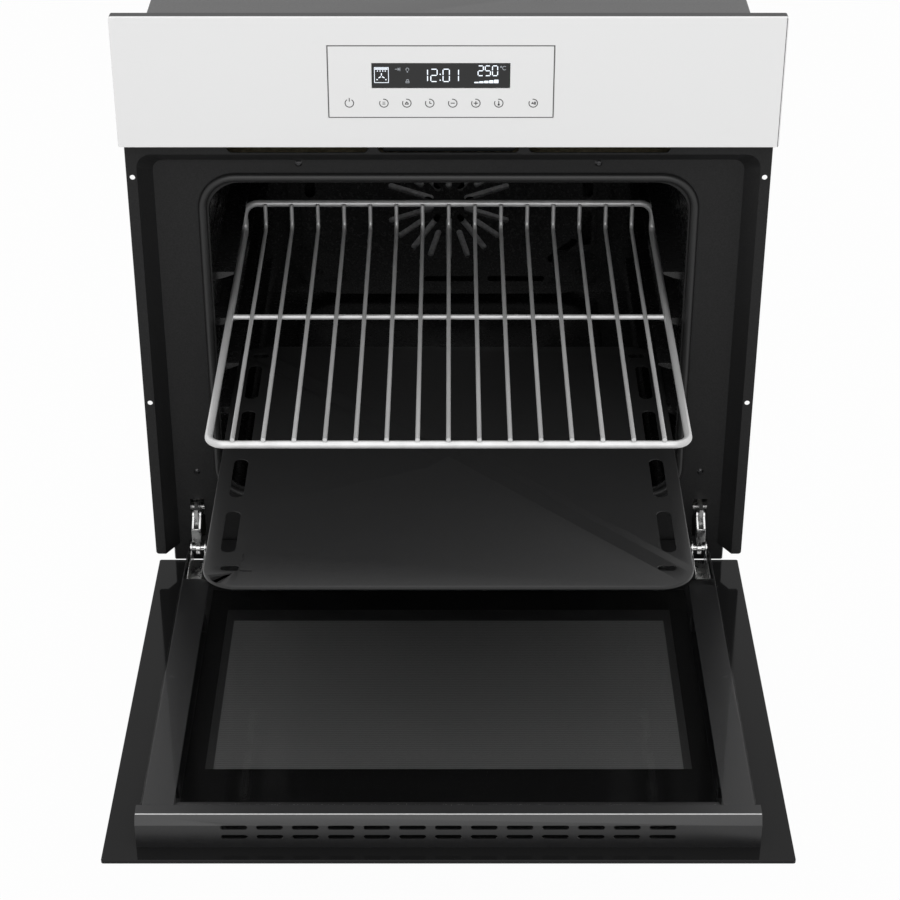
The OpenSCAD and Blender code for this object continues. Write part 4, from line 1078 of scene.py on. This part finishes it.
class OVEN_OT_cavity(bpy.types.Operator):
    """Enamelled cavity and the door seal round its mouth"""
    bl_idname = "oven.cavity"
    bl_label = "Cavity"

    def execute(self, context):
        soften_nodes(cavity_enamel(), edges().sheet, "cavity_shell")
        low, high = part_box("door_seal")
        depth = high[1] - low[1]
        round_bar_frame("door_seal_tube", low, high, 32 * MM, depth * 0.98, seal_rubber(),
                        low[1] + depth, ("door_seal",))
        lip = 1.4 * MM
        inset = Vector((2 * depth - lip, 0, 2 * depth - lip))
        round_bar_frame("mouth_lip", Vector(low) + inset, Vector(high) - inset, 32 * MM, lip,
                        cavity_enamel(), high[1] + lip)
        return {"FINISHED"}


def round_bar_frame(name, low, high, corner, radius, material, depth, replaces=()):
    """A closed round bar that follows a rectangle with round corners, inside a box across Y."""
    x, z = high[0] - radius, high[2] - radius
    left, floor = low[0] + radius, low[2] + radius
    run, rise = x - left - 2 * corner, z - floor - 2 * corner
    turn = ("turn", (0, -1, 0), corner, 90)
    bm = start_mesh()
    bent_bar(bm, ((left + x) / 2, depth, floor), (1, 0, 0), radius,
             (("go", run / 2), turn, ("go", rise), turn, ("go", run), turn, ("go", rise), turn,
              ("go", run / 2)), sides=20)
    finish_piece(name, bm, material, "casing", replaces)


class OVEN_OT_shelf_rails(bpy.types.Operator):
    """Side sheets with a rail for each level"""
    bl_idname = "oven.shelf_rails"
    bl_label = "Shelf rails"

    def execute(self, context):
        soften_nodes(cavity_enamel(), edges().fold / 2, "left_shelf_rails", "right_shelf_rails")
        return {"FINISHED"}


class OVEN_OT_fan_cover(bpy.types.Operator):
    """Fan cover, its screws, and the fan and rods behind it"""
    bl_idname = "oven.fan_cover"
    bl_label = "Fan cover"

    def execute(self, context):
        soften_nodes(cavity_enamel(), edges().sheet, "fan_baffle")
        soften_nodes(screw_steel(), edges().sheet / 2, "baffle_screws")
        dress(fan_metal(), "convection_fan")
        dress(heater_skin(), "ring_element", "grill_element")
        dress(probe_steel(), "temperature_probe")
        return {"FINISHED"}


# ---- Door ----

class OVEN_OT_door_glass(bpy.types.Operator):
    """Outer, middle and inner glass of the door"""
    bl_idname = "oven.door_glass"
    bl_label = "Door glass"

    def execute(self, context):
        soften_nodes(door_glass(), edges().glass, "door_outer_glass")
        soften_nodes(clear_glass(), edges().glass / 2, "door_middle_glass", "door_inner_glass")
        print_window()
        return {"FINISHED"}


def hinge_axis():
    """The door's axis: its Y and Z."""
    joint = next(j for j in frame["record"]["behaviour"]["joints"] if j["name"] == "door_hinge")
    return joint["pos_m"][1], joint["pos_m"][2]


PRINT_COAT = 0.05 * MM                   # thickness of one coat of print


def print_window():
    """Prints the lined window on the inside of the outer glass."""
    print_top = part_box("door_outer_glass")[1][2]
    coat = PRINT_COAT
    far = hinge_axis()[0] - window().start
    near = far - window().length
    half = window().half_width
    bm = start_mesh()
    side, end = window().side_border, window().end_border
    block(bm, (-half - side, near, print_top), (half + side, far + end, print_top + coat))
    finish_piece("window_border", bm, window_border(), "door")
    bm = start_mesh()
    block(bm, (-half, near, print_top), (half, far, print_top + 2 * coat))
    finish_piece("window_print", bm, window_base(), "door")
    bm = start_mesh()
    pitch = window().length / window().lines
    for i in range(window().lines):
        low = near + pitch * i
        block(bm, (-half, low, print_top), (half, low + pitch / 2, print_top + 3 * coat))
    finish_piece("window_lines", bm, window_lines(), "door")


class OVEN_OT_door_metal(bpy.types.Operator):
    """Side profiles, slotted top trim and bottom rail of the door"""
    bl_idname = "oven.door_metal"
    bl_label = "Door sheet metal"

    def execute(self, context):
        soften_nodes(door_sheet(), edges().sheet, "left_door_profile", "right_door_profile", "door_top_trim",
                     "door_bottom_rail")
        low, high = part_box("door_top_trim")
        # A thin bright bar along the trim's top edge is a painted highlight.
        place = (low[1] + TRIM_SHOULDER, high[2] - 0.25 * MM)
        bm = start_mesh()
        tube(bm, (low[0] + 0.5 * MM, *place), (high[0] - 0.5 * MM, *place), 0.55 * MM, segments=12)
        finish_piece("trim_painted_highlight", bm, bare_edge(), "door")
        return {"FINISHED"}


TRIM_SHOULDER = 5.7 * MM                 # run of the sloping shoulder of the top trim


class OVEN_OT_hinges(bpy.types.Operator):
    """Hinge arms, latches, channels and springs"""
    bl_idname = "oven.hinges"
    bl_label = "Hinges"

    def execute(self, context):
        for side in ("left", "right"):
            soften_nodes(hinge_steel(), edges().sheet, side + "_hinge_receiver", side + "_hinge_arm",
                         side + "_hinge_latch", side + "_hinge_channel")
        dress(hinge_steel(), "hinge_pins", "hinge_springs")
        return {"FINISHED"}


class OVEN_OT_handle(bpy.types.Operator):
    """Brushed handle bar on its posts"""
    bl_idname = "oven.handle"
    bl_label = "Handle"

    def execute(self, context):
        dress(brushed_bar(), "handle_bar", "handle_posts")
        return {"FINISHED"}


# ---- Shelves ----

class OVEN_OT_rack(bpy.types.Operator):
    """Chromed wire rack"""
    bl_idname = "oven.rack"
    bl_label = "Wire rack"

    def execute(self, context):
        dress(rack_chrome(), "rack_frame", "rack_wires")
        return {"FINISHED"}


class OVEN_OT_tray(bpy.types.Operator):
    """Enamelled baking tray"""
    bl_idname = "oven.tray"
    bl_label = "Baking tray"

    def execute(self, context):
        low, high = (Vector(corner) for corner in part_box("baking_tray"))
        bm = start_mesh()
        loft(bm, [tray_ring(bm, low, high, *ring) for ring in TRAY_RINGS])
        tray = finish_piece("pressed_tray", bm, tray_enamel(), "tray", ("baking_tray",))
        wall = tray.modifiers.new("sheet", "SOLIDIFY")
        wall.thickness = TRAY_SHEET
        wall.offset = 1
        apply_modifiers(tray)
        carve_tray(tray, low, high)
        return {"FINISHED"}


TRAY_SHEET = 0.9 * MM
TRAY_RIM = (36 * MM, 23 * MM)            # side and end rims
TRAY_SLOT = (68.5 * MM, 13.5 * MM)       # length and width of a slot in a side rim
TRAY_HOLE = (17 * MM, 9 * MM)            # length and width of a hole near a corner
TRAY_CUT = 8 * MM                        # depth of the cutters of both
# Rings of the tray from its outer edge to its floor: inset from the well's edge or the outside,
# depth below the rim, corner radius.
TRAY_RINGS = (
    ("edge", 0.05, 2.5, 30), ("edge", 0.05, 1.1, 30), ("edge", 0.35, 0.35, 29.7), ("edge", 1.1, 0.05, 29),
    ("well", -2.2, 0.05, 34), ("well", -0.8, 0.25, 32.6), ("well", 0.5, 0.9, 31.3), ("well", 1.8, 2.2, 30.2),
    ("well", 3.4, 4.6, 29), ("well", 21.0, 29.0, 22), ("well", 22.7, 31.2, 21.4), ("well", 24.6, 32.9, 20.8),
    ("well", 26.9, 33.8, 20), ("well", 29.6, 34.05, 19),
)


def tray_ring(bm, low, high, kind, inset, drop, radius):
    """One loop of the tray's pressed shape; sizes in millimetres."""
    rim = TRAY_RIM if kind == "well" else (0, 0)
    x, y = (side + inset * MM for side in rim)
    return rounded_ring(bm, (low.x + x, low.y + y), (high.x - x, high.y - y), radius * MM, high.z - drop * MM)


def carve_tray(tray, low, high):
    """Cuts the slots of the rims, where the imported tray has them."""
    cutter = start_mesh()
    length = high.y - low.y
    side = (high.x - low.x) / 2 - TRAY_RIM[0] / 2 - 1 * MM
    for s in (-1, 1):
        for i in range(4):
            slot_cutter(cutter, (s * side, low.y + 87 * MM + i * (length - 162 * MM) / 3, high.z),
                        *TRAY_SLOT, TRAY_CUT, run=(0, 1, 0))
        for y in (28 * MM, length - 20 * MM):
            slot_cutter(cutter, (s * (side - 4 * MM), low.y + y, high.z), *TRAY_HOLE, TRAY_CUT, run=(1, 0, 0))
    carve(tray, cutter)
    soften(tray, 0.25 * MM, angle=40)


# ---- Parts inside ----

class OVEN_OT_inner_parts(bpy.types.Operator):
    """Motors, boards, insulation and other parts behind the covers"""
    bl_idname = "oven.inner_parts"
    bl_label = "Inner parts"

    def execute(self, context):
        dress(mineral_wool(), "insulation")
        # The duct's near-black colour paints the shade seen through the air slots.
        dress(duct_coat(), "air_duct")
        dress(fan_metal(), "cooling_fan_housing", "cooling_fan_drum")
        dress(motor_steel(), "convection_motor", "cooling_fan_motor")
        dress(heater_skin(), "bottom_element")
        dress(ceramic(), "lamp_holder", "safety_thermostat", "terminal_block")
        dress(lamp_glass(), "lamp_bulb", "lamp_lens")
        dress(circuit_board(), "display_board", "power_board")
        dress(contact_metal(), "touch_pads")
        return {"FINISHED"}


OPERATORS = (OVEN_OT_stage, OVEN_OT_casing, OVEN_OT_front_frame, OVEN_OT_control_panel,
             OVEN_OT_display, OVEN_OT_touch_marks, OVEN_OT_cavity, OVEN_OT_shelf_rails,
             OVEN_OT_fan_cover, OVEN_OT_door_glass, OVEN_OT_door_metal, OVEN_OT_hinges, OVEN_OT_handle,
             OVEN_OT_rack, OVEN_OT_tray, OVEN_OT_inner_parts)
SETTINGS = (("oven_finishes", OvenFinishes), ("oven_edges", OvenEdges), ("oven_marks", OvenMarks),
            ("oven_window", OvenWindow), ("oven_studio", OvenStudio))


class OVEN_PT_panel(bpy.types.Panel):
    """Lists the oven's settings and pieces"""
    bl_idname = "OVEN_PT_panel"
    bl_label = "Oven"
    bl_space_type = "VIEW_3D"
    bl_region_type = "UI"
    bl_category = "Oven"

    def draw(self, context):
        for name, kind in SETTINGS:
            box = self.layout.box()
            for prop in kind.__annotations__:
                box.prop(getattr(context.scene, name), prop)
        for operator in OPERATORS:
            self.layout.operator(operator.bl_idname)


def register():
    for name, kind in SETTINGS:
        bpy.utils.register_class(kind)
        setattr(bpy.types.Scene, name, PointerProperty(type=kind))
    for kind in (*OPERATORS, OVEN_PT_panel):
        bpy.utils.register_class(kind)


def unregister():
    for kind in reversed((*OPERATORS, OVEN_PT_panel)):
        bpy.utils.unregister_class(kind)
    for name, kind in reversed(SETTINGS):
        delattr(bpy.types.Scene, name)
        bpy.utils.unregister_class(kind)


def main():
    register()
    for operator in OPERATORS:
        group, name = operator.bl_idname.split(".")
        getattr(getattr(bpy.ops, group), name)()


if __name__ == "__main__":
    main()
